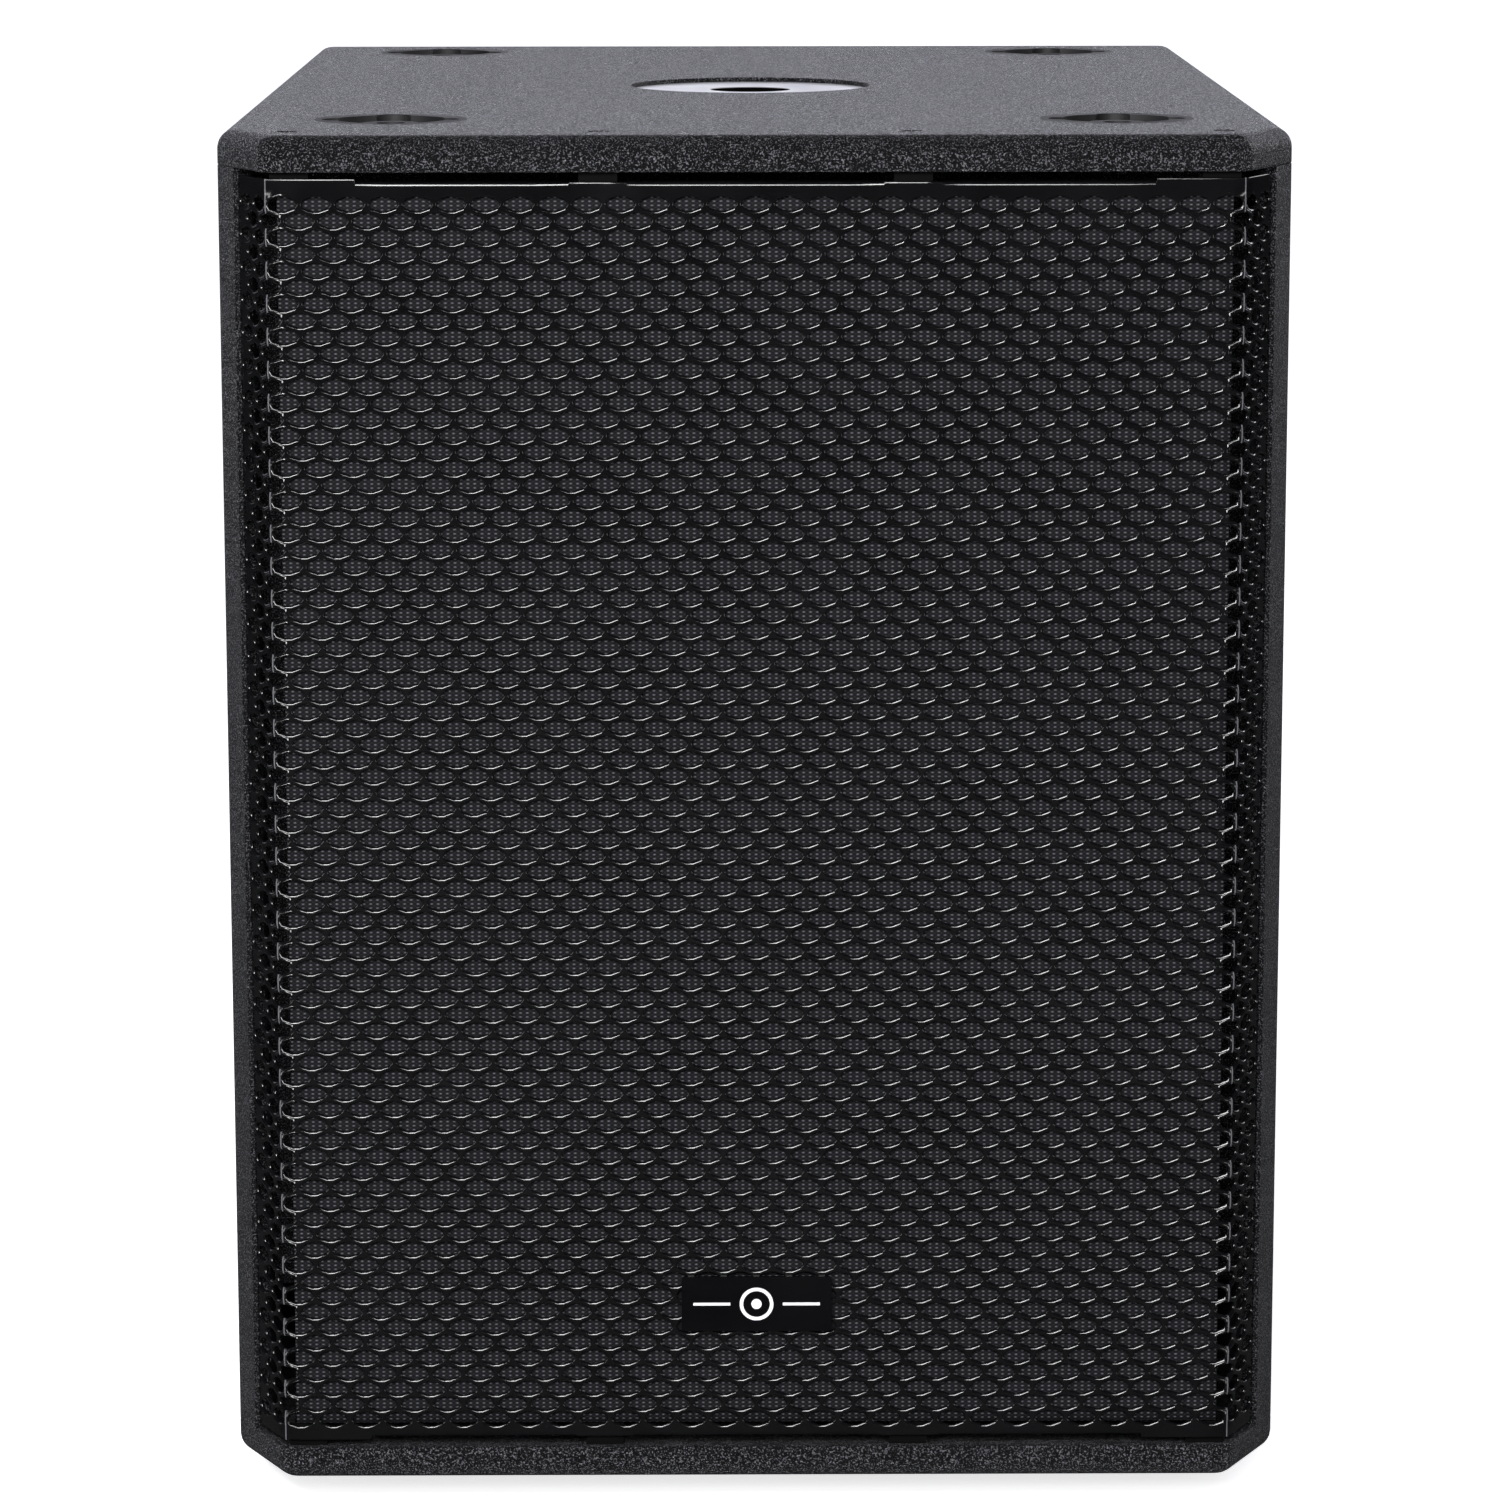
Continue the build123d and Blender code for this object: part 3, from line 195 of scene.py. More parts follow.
def newMaterial(name, settings):
    # plain values sit on the shader's own sockets
    material = bpy.data.materials.new(name)
    material.use_nodes = True
    tree = material.node_tree
    shader = tree.nodes["Principled BSDF"]
    shader.inputs["Base Color"].default_value = (*settings["colour"], 1.0)
    shader.inputs["Roughness"].default_value = settings["rough"]
    shader.inputs["Metallic"].default_value = settings.get("metal", 0.0)
    shader.inputs["Specular IOR Level"].default_value = settings.get("specular", 0.5)
    material.diffuse_color = (*settings["colour"], 1.0)
    place = tree.nodes.new("ShaderNodeTexCoord")
    return material, tree, shader, place.outputs["Object"]


def addBump(tree, shader, height, distance):
    # relief of height times distance, in metres
    bump = tree.nodes.new("ShaderNodeBump")
    bump.inputs["Distance"].default_value = distance
    tree.links.new(height, bump.inputs["Height"])
    tree.links.new(bump.outputs["Normal"], shader.inputs["Normal"])


def coatedMaterial(name, settings):
    # sprayed coat, crests painted lighter as a painted glint and made glossier: roughness = rough - shine crest,
    # specular = specular + gleam crest
    material, tree, shader, place = newMaterial(name, settings)
    coat = tree.nodes.new("ShaderNodeGroup")
    coat.node_tree = spatter
    coat.inputs["Blob scale"].default_value = settings["blobs"]
    coat.inputs["Grain scale"].default_value = settings["grain"]
    tree.links.new(place, coat.inputs["Vector"])
    # painted glint: the crests take the lighter crest colour
    colour = mixColour(tree, coat.outputs["Crest"], settings["colour"], settings["crest"])
    dusty = mathNode(tree, "MULTIPLY", coat.outputs["Patch"], settings["dust"])
    tree.links.new(mixColour(tree, dusty, colour, settings["crest"]), shader.inputs["Base Color"])
    rough = mathNode(tree, "MULTIPLY_ADD", coat.outputs["Crest"], -settings["shine"], settings["rough"])
    tree.links.new(rough, shader.inputs["Roughness"])
    gleam = mathNode(tree, "MULTIPLY_ADD", coat.outputs["Crest"], settings["gleam"], settings["specular"])
    tree.links.new(gleam, shader.inputs["Specular IOR Level"])
    addBump(tree, shader, coat.outputs["Height"], settings["relief"])
    return material


def grainedMaterial(name, settings):
    # fine grained paint, plastic, rubber or metal: roughness = rough + spread tone
    material, tree, shader, place = newMaterial(name, settings)
    grain = tree.nodes.new("ShaderNodeGroup")
    grain.node_tree = fineGrain
    grain.inputs["Scale"].default_value = settings["grain"]
    tree.links.new(place, grain.inputs["Vector"])
    tone = rampNode(tree, grain.outputs["Tone"], *toneRise)
    tree.links.new(mixColour(tree, tone, settings["colour"], settings["tone"]), shader.inputs["Base Color"])
    rough = mathNode(tree, "MULTIPLY_ADD", tone, settings["roughSpread"], settings["rough"])
    tree.links.new(rough, shader.inputs["Roughness"])
    addBump(tree, shader, grain.outputs["Height"], settings["relief"])
    return material


cabinetCoat = {
    "colour": (0.005, 0.005, 0.006),
    # crest colour: a painted glint on the coat's crests, also the colour the dust patches lean to
    "crest": (0.34, 0.34, 0.37),
    "rough": 0.5,
    "shine": 0.38,
    "dust": 0.015,
    "specular": 0.32,
    "gleam": 0.5,
    "blobs": 1500.0,
    "grain": 2300.0,
    "relief": 0.004,
}
powderCoat = {
    "colour": (0.002, 0.002, 0.0023),
    "tone": (0.0035, 0.0035, 0.004),
    "rough": 0.12,
    "roughSpread": 0.03,
    "specular": 0.7,
    "grain": 2600.0,
    "relief": 0.00001,
    # the three fold settings below paint a painted highlight: a light line along each fold of the grille
    "highlightWidth": 0.5 * mm,
    "highlightCore": 0.15 * mm,
    "foldHighlightColour": (0.13, 0.13, 0.14),
}
tabSteel = {
    "colour": (0.001, 0.001, 0.001),
    "tone": (0.002, 0.002, 0.002),
    "rough": 0.75,
    "roughSpread": 0.1,
    "specular": 0.1,
    "grain": 2000.0,
    "relief": 0.00002,
}
mouldedPlastic = {
    "colour": (0.012, 0.012, 0.013),
    "tone": (0.022, 0.022, 0.024),
    "rough": 0.52,
    "roughSpread": 0.12,
    "grain": 1900.0,
    "relief": 0.00006,
}
softRubber = {
    "colour": (0.014, 0.014, 0.014),
    "tone": (0.03, 0.029, 0.028),
    "rough": 0.62,
    "roughSpread": 0.15,
    "specular": 0.4,
    "grain": 1500.0,
    "relief": 0.0001,
}
badgePlate = {
    "colour": (0.0015, 0.0015, 0.002),
    "tone": (0.0025, 0.0025, 0.003),
    "rough": 0.22,
    "roughSpread": 0.05,
    "specular": 0.25,
    "grain": 3000.0,
    "relief": 0.00001,
}
badgePrint = {
    "colour": (0.8, 0.8, 0.82),
    "tone": (0.88, 0.88, 0.9),
    "rough": 0.4,
    "roughSpread": 0.05,
    "grain": 3000.0,
    "relief": 0.00001,
}
blackOxide = {
    "colour": (0.012, 0.012, 0.013),
    "tone": (0.03, 0.029, 0.028),
    "rough": 0.3,
    "roughSpread": 0.2,
    "metal": 0.6,
    "grain": 2200.0,
    "relief": 0.00003,
}
socketPlastic = {
    "colour": (0.02, 0.03, 0.05),
    "tone": (0.03, 0.045, 0.075),
    "rough": 0.3,
    "roughSpread": 0.1,
    "grain": 2400.0,
    "relief": 0.00003,
}
zincPlate = {
    "colour": (0.72, 0.72, 0.74),
    "tone": (0.6, 0.6, 0.62),
    "rough": 0.28,
    "roughSpread": 0.18,
    "metal": 1.0,
    "grain": 1800.0,
    "relief": 0.00003,
}
platedDisc = {
    "colour": (0.82, 0.82, 0.85),
    "tone": (0.74, 0.74, 0.77),
    "rough": 0.3,
    "roughSpread": 0.12,
    "metal": 0.6,
    "grain": 1400.0,
    "relief": 0.00003,
    "specular": 0.5,
    "boreRadius": 18.6 * mm,
    "boreBlend": 1.02,
    # bore colour: painted shade inside the pole hole
    "tube": (0.002, 0.002, 0.002),
}
brassContact = {
    "colour": (0.72, 0.5, 0.22),
    "tone": (0.6, 0.4, 0.16),
    "rough": 0.25,
    "roughSpread": 0.15,
    "metal": 1.0,
    "grain": 2500.0,
    "relief": 0.00002,
}
conePaper = {
    "colour": (0.02, 0.02, 0.021),
    "tone": (0.045, 0.044, 0.043),
    "rough": 0.75,
    "roughSpread": 0.15,
    "specular": 0.3,
    "grain": 420.0,
    "relief": 0.0004,
}
paddingWool = {
    "colour": (0.5, 0.5, 0.48),
    "tone": (0.68, 0.68, 0.66),
    "rough": 0.95,
    "roughSpread": 0.04,
    "specular": 0.1,
    "grain": 260.0,
    "relief": 0.002,
}
barePly = {
    "colour": (0.42, 0.28, 0.16),
    "tone": (0.52, 0.37, 0.22),
    "rough": 0.7,
    "roughSpread": 0.15,
    "grain": 500.0,
    "relief": 0.0002,
}
resinCloth = {
    "colour": (0.42, 0.28, 0.09),
    "tone": (0.55, 0.38, 0.14),
    "rough": 0.8,
    "roughSpread": 0.1,
    "grain": 1200.0,
    "relief": 0.0003,
}
copperWire = {
    "colour": (0.65, 0.26, 0.12),
    "tone": (0.8, 0.38, 0.2),
    "rough": 0.25,
    "roughSpread": 0.15,
    "metal": 1.0,
    "grain": 1500.0,
    "relief": 0.0001,
}
ferriteBlack = {
    "colour": (0.035, 0.035, 0.038),
    "tone": (0.06, 0.06, 0.064),
    "rough": 0.55,
    "roughSpread": 0.15,
    "grain": 900.0,
    "relief": 0.0001,
}
boardGreen = {
    "colour": (0.015, 0.12, 0.04),
    "tone": (0.02, 0.16, 0.06),
    "rough": 0.35,
    "roughSpread": 0.1,
    "grain": 1500.0,
    "relief": 0.00003,
}
sleeveBlue = {
    "colour": (0.02, 0.05, 0.22),
    "tone": (0.03, 0.07, 0.3),
    "rough": 0.25,
    "roughSpread": 0.1,
    "grain": 1500.0,
    "relief": 0.00003,
}
cementBody = {
    "colour": (0.7, 0.69, 0.64),
    "tone": (0.8, 0.79, 0.74),
    "rough": 0.8,
    "roughSpread": 0.1,
    "grain": 900.0,
    "relief": 0.0001,
}
leadSleeve = {
    "colour": (0.35, 0.012, 0.012),
    "tone": (0.42, 0.02, 0.02),
    "rough": 0.4,
    "roughSpread": 0.1,
    "grain": 1500.0,
    "relief": 0.00003,
}


def boredDisc(name, settings):
    # plated face with the bore painted dark as painted shade in the hole: dark where sqrt(x^2 + y^2) is under the bore
    # radius
    material = grainedMaterial(name, settings)
    tree = material.node_tree
    shader = tree.nodes["Principled BSDF"]
    place = tree.nodes.new("ShaderNodeTexCoord")
    flat = tree.nodes.new("ShaderNodeVectorMath")
    flat.operation = "MULTIPLY"
    flat.inputs[1].default_value = (1.0, 1.0, 0.0)
    tree.links.new(place.outputs["Object"], flat.inputs[0])
    reach = tree.nodes.new("ShaderNodeVectorMath")
    reach.operation = "LENGTH"
    tree.links.new(flat.outputs[0], reach.inputs[0])
    edge = settings["boreRadius"]
    plated = rampNode(tree, reach.outputs["Value"], edge, edge * settings["boreBlend"])
    face = shader.inputs["Base Color"].links[0].from_socket
    tree.links.new(mixColour(tree, plated, settings["tube"], face), shader.inputs["Base Color"])
    for label, setting in (("Metallic", "metal"), ("Specular IOR Level", "specular")):
        tree.links.new(mathNode(tree, "MULTIPLY", plated, settings[setting]), shader.inputs[label])
    return material


paint(
    coatedMaterial("texturedCoat", cabinetCoat),
    "top_panel",
    "bottom_panel",
    "left_side_panel",
    "right_side_panel",
    "rear_panel",
    "baffle",
)
paint(grainedMaterial("grillePowderCoat", powderCoat), "input_plate", "driver_basket")
paint(grainedMaterial("tabSteel", tabSteel), "grille_tabs")
cups = [f"{row}_{side}_stacking_cup" for row in ("front", "rear") for side in ("left", "right")]
paint(
    grainedMaterial("mouldedPlastic", mouldedPlastic),
    *cups,
    "left_handle_cup",
    "right_handle_cup",
    "board_standoffs",
    "inductor_bobbin",
    "driver_terminals",
)
paint(
    grainedMaterial("softRubber", softRubber),
    "rubber_feet",
    "left_handle_grip",
    "right_handle_grip",
    "surround",
    "driver_gasket",
)
paint(grainedMaterial("badgePlate", badgePlate), "badge")
paint(grainedMaterial("badgePrint", badgePrint), "badge_emblem")
paint(
    grainedMaterial("blackOxide", blackOxide),
    "grille_screws",
    "stacking_cup_screws",
    "foot_bolts",
    "trim_screws",
    "socket_screws",
    "driver_bolts",
    "board_screws",
)
paint(grainedMaterial("socketPlastic", socketPlastic), "input_socket", "link_socket")
paint(
    grainedMaterial("zincPlate", zincPlate),
    "pole_cup_nut",
    "stacking_cup_nuts",
    "tee_nuts",
    "top_plate",
    "pole_yoke",
)
paint(boredDisc("platedDisc", platedDisc), "pole_cup")
paint(grainedMaterial("brassContact", brassContact), "socket_contacts")
paint(grainedMaterial("conePaper", conePaper), "cone", "dust_cap")
paint(grainedMaterial("paddingWool", paddingWool), "rear_wadding", "side_wadding")
paint(grainedMaterial("barePly", barePly), "port_shelf", "port_divider", "window_brace")
paint(grainedMaterial("resinCloth", resinCloth), "spider", "voice_coil_former")
paint(grainedMaterial("copperWire", copperWire), "voice_coil", "inductor_winding")
paint(grainedMaterial("ferriteBlack", ferriteBlack), "magnet")
paint(grainedMaterial("boardGreen", boardGreen), "crossover_board")
paint(grainedMaterial("sleeveBlue", sleeveBlue), "capacitors")
paint(grainedMaterial("cementBody", cementBody), "power_resistor")
paint(grainedMaterial("leadSleeve", leadSleeve), "input_leads", "driver_leads")
print("stage: finishes set")


# perforated steel grille, worked out flat and then folded at both chamfers
grille = {
    "thick": 1.5 * mm,
    "wing": 28.0 * mm,
    "foldRadius": 3.0 * mm,
    "chamfer": (22.0 * mm, 42.5 * mm),
    "halfColumns": 29,
    "edgeColumns": 33,
    "rows": 77,
    "topMargin": 10.4 * mm,
    "bottomMargin": 9.1 * mm,
    "web": 2.1 * mm,
    "shortSide": 2.3 * mm,
    "cornerReach": 1.3 * mm,
    "lipCornerReach": 1.43 * mm,
    "rearShrink": 0.15 * mm,
    "lipWidth": 0.72 * mm,
    "lipDepth": 0.2 * mm,
    "edgeStep": 1.4 * mm,
    "hemDepth": 8.0 * mm,
    "hemSpans": ((-165.0, -77.0), (-53.0, 53.0), (77.0, 165.0)),
    "hemSideHalf": 0.3 * mm,
    "flangeHalf": 165.0 * mm,
    "sharpAngle": 50.0,
}

foldAngle = math.atan2(grille["chamfer"][1], grille["chamfer"][0])
foldSetback = grille["foldRadius"] * math.tan(foldAngle / 2)
foldHalf = gridHigh.x - grille["wing"] * math.cos(foldAngle)
sheetHalf = foldHalf - 2 * foldSetback + grille["foldRadius"] * foldAngle + grille["wing"]
halfPitch = foldHalf / grille["halfColumns"]
topRow = gridHigh.z - grille["topMargin"]
rowPitch = (topRow - gridLow.z - grille["bottomMargin"]) / (grille["rows"] - 1)
print("stage: grille pitch", round(2 * halfPitch / mm, 3), "by", round(rowPitch / mm, 3), "mm")


def foldedPlace(along, height, depth):
    # flat to the fold, an arc of the fold radius, then straight down the chamfer
    # x = flat + (R - depth) sin(turn) + past cos(angle), y = R - (R - depth) cos(turn) + past sin(angle)
    radius = grille["foldRadius"]
    far = np.minimum(np.abs(along), sheetHalf)
    flat = foldHalf - foldSetback
    turn = np.clip((far - flat) / radius, 0.0, foldAngle)
    past = np.maximum(far - flat - radius * foldAngle, 0.0)
    x = np.minimum(far, flat) + (radius - depth) * np.sin(turn) + past * math.cos(foldAngle)
    y = radius - (radius - depth) * np.cos(turn) + past * math.sin(foldAngle)
    return np.stack([np.sign(along) * x, gridLow.y + y, height + 0 * along], axis=-1)


def hexagonCorners(halfWide, shrink):
    # pointed hexagon moved inwards by shrink, anticlockwise from its lower right corner
    tall = rowPitch - grille["shortSide"]
    slope = (tall - grille["shortSide"]) / halfWide
    wide = halfWide - shrink
    point = tall - shrink * math.hypot(1.0, slope)
    side = point - wide * slope
    return np.array([(wide, -side), (wide, side), (0, point), (-wide, side), (-wide, -side), (0, -point)])


def cutCorners(corners, reach):
    # every corner becomes two points, each the reach away from it along a side
    before = np.roll(corners, 1, axis=0) - corners
    after = np.roll(corners, -1, axis=0) - corners
    before /= np.linalg.norm(before, axis=1, keepdims=True)
    after /= np.linalg.norm(after, axis=1, keepdims=True)
    return np.stack([corners + before * reach, corners + after * reach], axis=1).reshape(-1, 2)


def ringFaces(outer, inner):
    # quads between two rings of the same count, each row one cell
    return np.stack([outer, np.roll(outer, -1, 1), np.roll(inner, -1, 1), inner], axis=-1).reshape(-1, 4)


def cornerFaces(corners, ring, flip):
    # a ring of six joined to a ring of twelve: a triangle at each corner and a quad at each side
    first, second = ring[:, 0::2], ring[:, 1::2]
    tris = np.stack([corners, second, first], axis=-1).reshape(-1, 3)
    quads = np.stack([corners, np.roll(corners, -1, 1), np.roll(first, -1, 1), second], axis=-1).reshape(-1, 4)
    return (tris[:, ::-1], quads[:, ::-1]) if flip else (tris, quads)


def foldHighlightSteel(name, settings):
    # painted highlight along the folds, a light line painted where the fold catches the light: highlight = fall of |
    # |u| - fold | over the highlight's width
    material = grainedMaterial(name, settings)
    tree = material.node_tree
    shader = tree.nodes["Principled BSDF"]
    flat = tree.nodes.new("ShaderNodeUVMap")
    flat.uv_map = "unfolded"
    split = tree.nodes.new("ShaderNodeSeparateXYZ")
    tree.links.new(flat.outputs[0], split.inputs[0])
    away = mathNode(tree, "SUBTRACT", mathNode(tree, "ABSOLUTE", split.outputs["X"]), foldHalf)
    foldHighlightMask = rampNode(tree, mathNode(tree, "ABSOLUTE", away), settings["highlightWidth"], settings["highlightCore"])
    coat = shader.inputs["Base Color"].links[0].from_socket
    tree.links.new(mixColour(tree, foldHighlightMask, coat, settings["foldHighlightColour"]), shader.inputs["Base Color"])
    return material


def edgeProfile(hemmed):
    # drop from the edge and depth from the face, round the plain or the hemmed edge to the back
    thick, hem = grille["thick"] / mm, grille["hemDepth"] / mm
    plain = [(0.9, 0), (0.4, 0), (0.12, 0.12), (0, 0.4), (0, 1.1), (0.12, 1.38), (0.4, thick)]
    folded = [(1.9, 0), (1.3, 0), (0.38, 0.38), (0, 1.3), (0, thick + hem), (thick, thick + hem), (thick, 2.2)]
    return np.where(hemmed[:, None, None], np.array(folded), np.array(plain)) * mm


def buildGrille():
    # one closed sheet: zigzag lines of cell corners, a hole in each cell, edges round to the back
    edge = grille["edgeColumns"]
    columns = np.arange(-edge, edge + 1)
    lines = np.arange(grille["rows"] + 1)
    high = rowPitch - grille["shortSide"]
    pointed = (columns[None] + lines[:, None]) % 2 == 0
    z = topRow - lines[:, None] * rowPitch + np.where(pointed, high, grille["shortSide"])
    u = columns[None] * halfPitch + 0 * z
    verts, flats, count = [], [], 0

    def keep(along, height, depth):
        nonlocal count
        verts.append(foldedPlace(along, height, depth).reshape(-1, 3))
        flats.append(np.stack([along, height], axis=-1).reshape(-1, 2))
        count += along.size
        return np.arange(count - along.size, count).reshape(along.shape)

    front = keep(u, z, 0.0)
    back = keep(u, z, grille["thick"])
    row, column = np.meshgrid(np.arange(grille["rows"]), np.arange(-edge + 1, edge), indexing="ij")
    whole = (row + column) % 2 == 0
    row, column = row[whole], column[whole]
    at = column + edge
    place = [(row + 1, at + 1), (row, at + 1), (row, at), (row, at - 1), (row + 1, at - 1), (row + 1, at)]
    frontCorner = np.stack([front[r, c] for r, c in place], axis=1)
    backCorner = np.stack([back[r, c] for r, c in place], axis=1)
    centre = np.stack([column * halfPitch, topRow - row * rowPitch], axis=1)[:, None]

    def ring(shape, depth):
        spot = centre + shape[None]
        return keep(spot[..., 0], spot[..., 1], depth)

    gap = grille["web"] / 2
    outline = cutCorners(hexagonCorners(halfPitch, gap), grille["cornerReach"])
    lip = cutCorners(hexagonCorners(halfPitch, gap - grille["lipWidth"]), grille["lipCornerReach"])
    lipRing = ring(lip, 0.0)
    wallRing = ring(outline, grille["lipDepth"])
    rearRing = ring(hexagonCorners(halfPitch, gap + grille["rearShrink"]), grille["thick"])
    frontTris, frontQuads = cornerFaces(frontCorner, lipRing, False)
    wallTris, wallQuads = cornerFaces(rearRing, wallRing, True)
    faces = [frontTris, frontQuads, ringFaces(lipRing, wallRing), wallTris, wallQuads, ringFaces(rearRing, backCorner)]

    oddLines = np.arange(1, grille["rows"], 2)
    for inner, outer in ((2 * edge - 1, 2 * edge), (1, 0)):
        corners = [(oddLines + 1, inner), (oddLines + 1, outer), (oddLines, outer), (oddLines, inner)]
        quads = [np.stack([side[spot] for spot in corners], axis=1) for side in (front, back)]
        turned = inner < outer
        faces.append(quads[0] if turned else quads[0][:, ::-1])
        faces.append(quads[1][:, ::-1] if turned else quads[1])
        wall = np.stack([front[1:, outer], back[1:, outer], back[:-1, outer], front[:-1, outer]], axis=1)
        faces.append(wall if turned else wall[:, ::-1])

    across = columns * halfPitch
    for low, up in grille["hemSpans"]:
        for limit, outward in ((low * mm, -1), (up * mm, 1)):
            first = np.searchsorted(across, limit)
            inside, outside = (first - 1, first) if outward > 0 else (first, first - 1)
            across[inside] = limit - outward * grille["hemSideHalf"]
            across[outside] = limit + outward * grille["hemSideHalf"]
    hemmed = np.any([(across > a * mm) & (across < b * mm) for a, b in grille["hemSpans"]], axis=0)
    stepped = np.abs(across) < grille["flangeHalf"]
    profile = edgeProfile(hemmed)
    caps = []
    for edgeZ, way, line in ((gridHigh.z, -1, 0), (gridLow.z, 1, grille["rows"])):
        height = edgeZ + way * (profile[..., 0] + np.where(stepped, grille["edgeStep"], 0.0)[:, None])
        rim = keep(across[:, None] + 0 * height, height, profile[..., 1])
        strip = np.concatenate([front[line][:, None], rim, back[line][:, None]], axis=1)
        quads = np.stack([strip[:-1, :-1], strip[1:, :-1], strip[1:, 1:], strip[:-1, 1:]], axis=-1).reshape(-1, 4)
        faces.append(quads if way < 0 else quads[:, ::-1])
        caps.append(strip[-1] if way < 0 else strip[-1][::-1])
        caps.append(strip[0][::-1] if way < 0 else strip[0])
    allFaces = [f for group in faces for f in group.tolist()] + [c.tolist() for c in caps]
    return np.concatenate(verts), np.concatenate(flats), allFaces, lipRing, wallRing


def sharpenEdges(mesh, sharpRing, softRing):
    # corners over the sharp angle and the lip's outer line are sharp, the lip rolls softly into the wall
    mesh.set_sharp_from_angle(angle=math.radians(grille["sharpAngle"]))
    ends = np.empty(len(mesh.edges) * 2, dtype=np.int32)
    mesh.edges.foreach_get("vertices", ends)
    ends = ends.reshape(-1, 2)
    kind = np.zeros(len(mesh.vertices), dtype=np.int8)
    kind[sharpRing.ravel()] = 1
    kind[softRing.ravel()] = 2
    sharp = np.empty(len(mesh.edges), dtype=bool)
    mesh.edges.foreach_get("use_edge_sharp", sharp)
    both = (kind[ends[:, 0]] == kind[ends[:, 1]]) * kind[ends[:, 0]]
    mesh.edges.foreach_set("use_edge_sharp", (sharp | (both == 1)) & (both != 2))


def flatCoordinates(mesh, flats):
    # a UV map that holds the unfolded sheet's own coordinates in metres
    corners = np.empty(len(mesh.loops), dtype=np.int32)
    mesh.loops.foreach_get("vertex_index", corners)
    layer = mesh.uv_layers.new(name="unfolded")
    layer.uv.foreach_set("vector", flats[corners].ravel().astype(np.float32))


grilleVerts, grilleFlats, grilleFaces, lipRing, wallRing = buildGrille()
grillePiece = newMesh("perforatedGrille", grilleVerts, grilleFaces, foldHighlightSteel("grilleCoatFoldHighlight", powderCoat))
sharpenEdges(grillePiece.data, lipRing, wallRing)
flatCoordinates(grillePiece.data, grilleFlats)
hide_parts("grille")
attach(grillePiece, "cabinet")
print("stage: grille", len(grilleVerts), "points", len(grilleFaces), "faces")

# cloth stretched behind the grille
scrim = {
    "columns": 80,
    "rows": 108,
    "thick": 0.5 * mm,
    "pull": 0.2 * mm,
    "pullSteady": 0.6,
    "pullTurns": (9.0, 5.0),
    "dotAcross": 2.85 * mm,
    "dotUp": 1.75 * mm,
    "colour": (0.004, 0.004, 0.005),
    # knot colour: a painted highlight on the black thread's knots
    "knotGlint": (0.11, 0.11, 0.125),
    "rough": 0.85,
    "specular": 0.2,
    "lineShare": 0.35,
    "knotRise": (-0.5, 1.7),
    "knotPower": 2.2,
    "relief": 0.3 * mm,
}


def stretchedSurface(low, high, settings):
    # a flat grid drawn back in slow waves that die out at the edges:
    # y = pull sin(pi a) sin(pi b) (steady + (1 - steady) cos(m a + n b))
    columns, rows = settings["columns"], settings["rows"]
    steady, turns = settings["pullSteady"], settings["pullTurns"]
    a, b = np.meshgrid(np.linspace(0, 1, columns), np.linspace(0, 1, rows), indexing="ij")
    swell = steady + (1 - steady) * np.cos(turns[0] * a + turns[1] * b)
    wave = np.sin(math.pi * a) * np.sin(math.pi * b) * swell
    x = low.x + (high.x - low.x) * a
    y = low.y + settings["pull"] * wave
    z = low.z + (high.z - low.z) * b
    grid = np.arange(columns * rows).reshape(columns, rows)
    quads = np.stack([grid[:-1, :-1], grid[1:, :-1], grid[1:, 1:], grid[:-1, 1:]], axis=-1).reshape(-1, 4)
    return np.stack([x, y, z], axis=-1).reshape(-1, 3), quads.tolist()


def scrimMaterial(settings):
    # knots of a fine net, painted lighter than the black thread as a painted highlight: a b + share (a + b), with a =
    # cos(2 pi x / across) and b = cos(2 pi z / up)
    material, tree, shader, place = newMaterial("knittedScrim", settings)
    split = tree.nodes.new("ShaderNodeSeparateXYZ")
    tree.links.new(place, split.inputs[0])
    waves = [
        mathNode(tree, "COSINE", mathNode(tree, "MULTIPLY", split.outputs[axis], 2 * math.pi / settings[size]))
        for axis, size in (("X", "dotAcross"), ("Z", "dotUp"))
    ]
    product = mathNode(tree, "MULTIPLY", *waves)
    net = mathNode(tree, "MULTIPLY_ADD", mathNode(tree, "ADD", *waves), settings["lineShare"], product)
    knots = mathNode(tree, "POWER", rampNode(tree, net, *settings["knotRise"]), settings["knotPower"])
    tree.links.new(mixColour(tree, knots, settings["colour"], settings["knotGlint"]), shader.inputs["Base Color"])
    addBump(tree, shader, knots, settings["relief"])
    return material


clothVerts, clothFaces = stretchedSurface(scrimLow, scrimHigh, scrim)
cloth = newMesh("scrimCloth", clothVerts, clothFaces, scrimMaterial(scrim))
solid = cloth.modifiers.new("clothThickness", "SOLIDIFY")
solid.thickness = scrim["thick"]
solid.offset = -1.0
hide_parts("grille_scrim")
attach(cloth, "cabinet")
print("stage: scrim cloth")

# studio: the floor and sky look darker to reflections than to the eye, as black flags would make them
studio = {
    "floorHalf": 24.0,
    "floorDrop": 0.3 * mm,
    "floorTone": 0.9,
    "floorGlossyTone": 0.05,
    "floorRough": 0.9,
    "floorSpecular": 0.1,
    "floorGlow": 0.75,
    "skyForGloss": 0.03,
    "skyForDiffuse": 0.35,
    "skyBehind": 1.9,
    "behindFrom": 0.72,
    "behindFull": 0.93,
    "behindTop": 0.42,
    "behindFade": 0.15,
    "tint": (0.94, 0.95, 1.06),
}

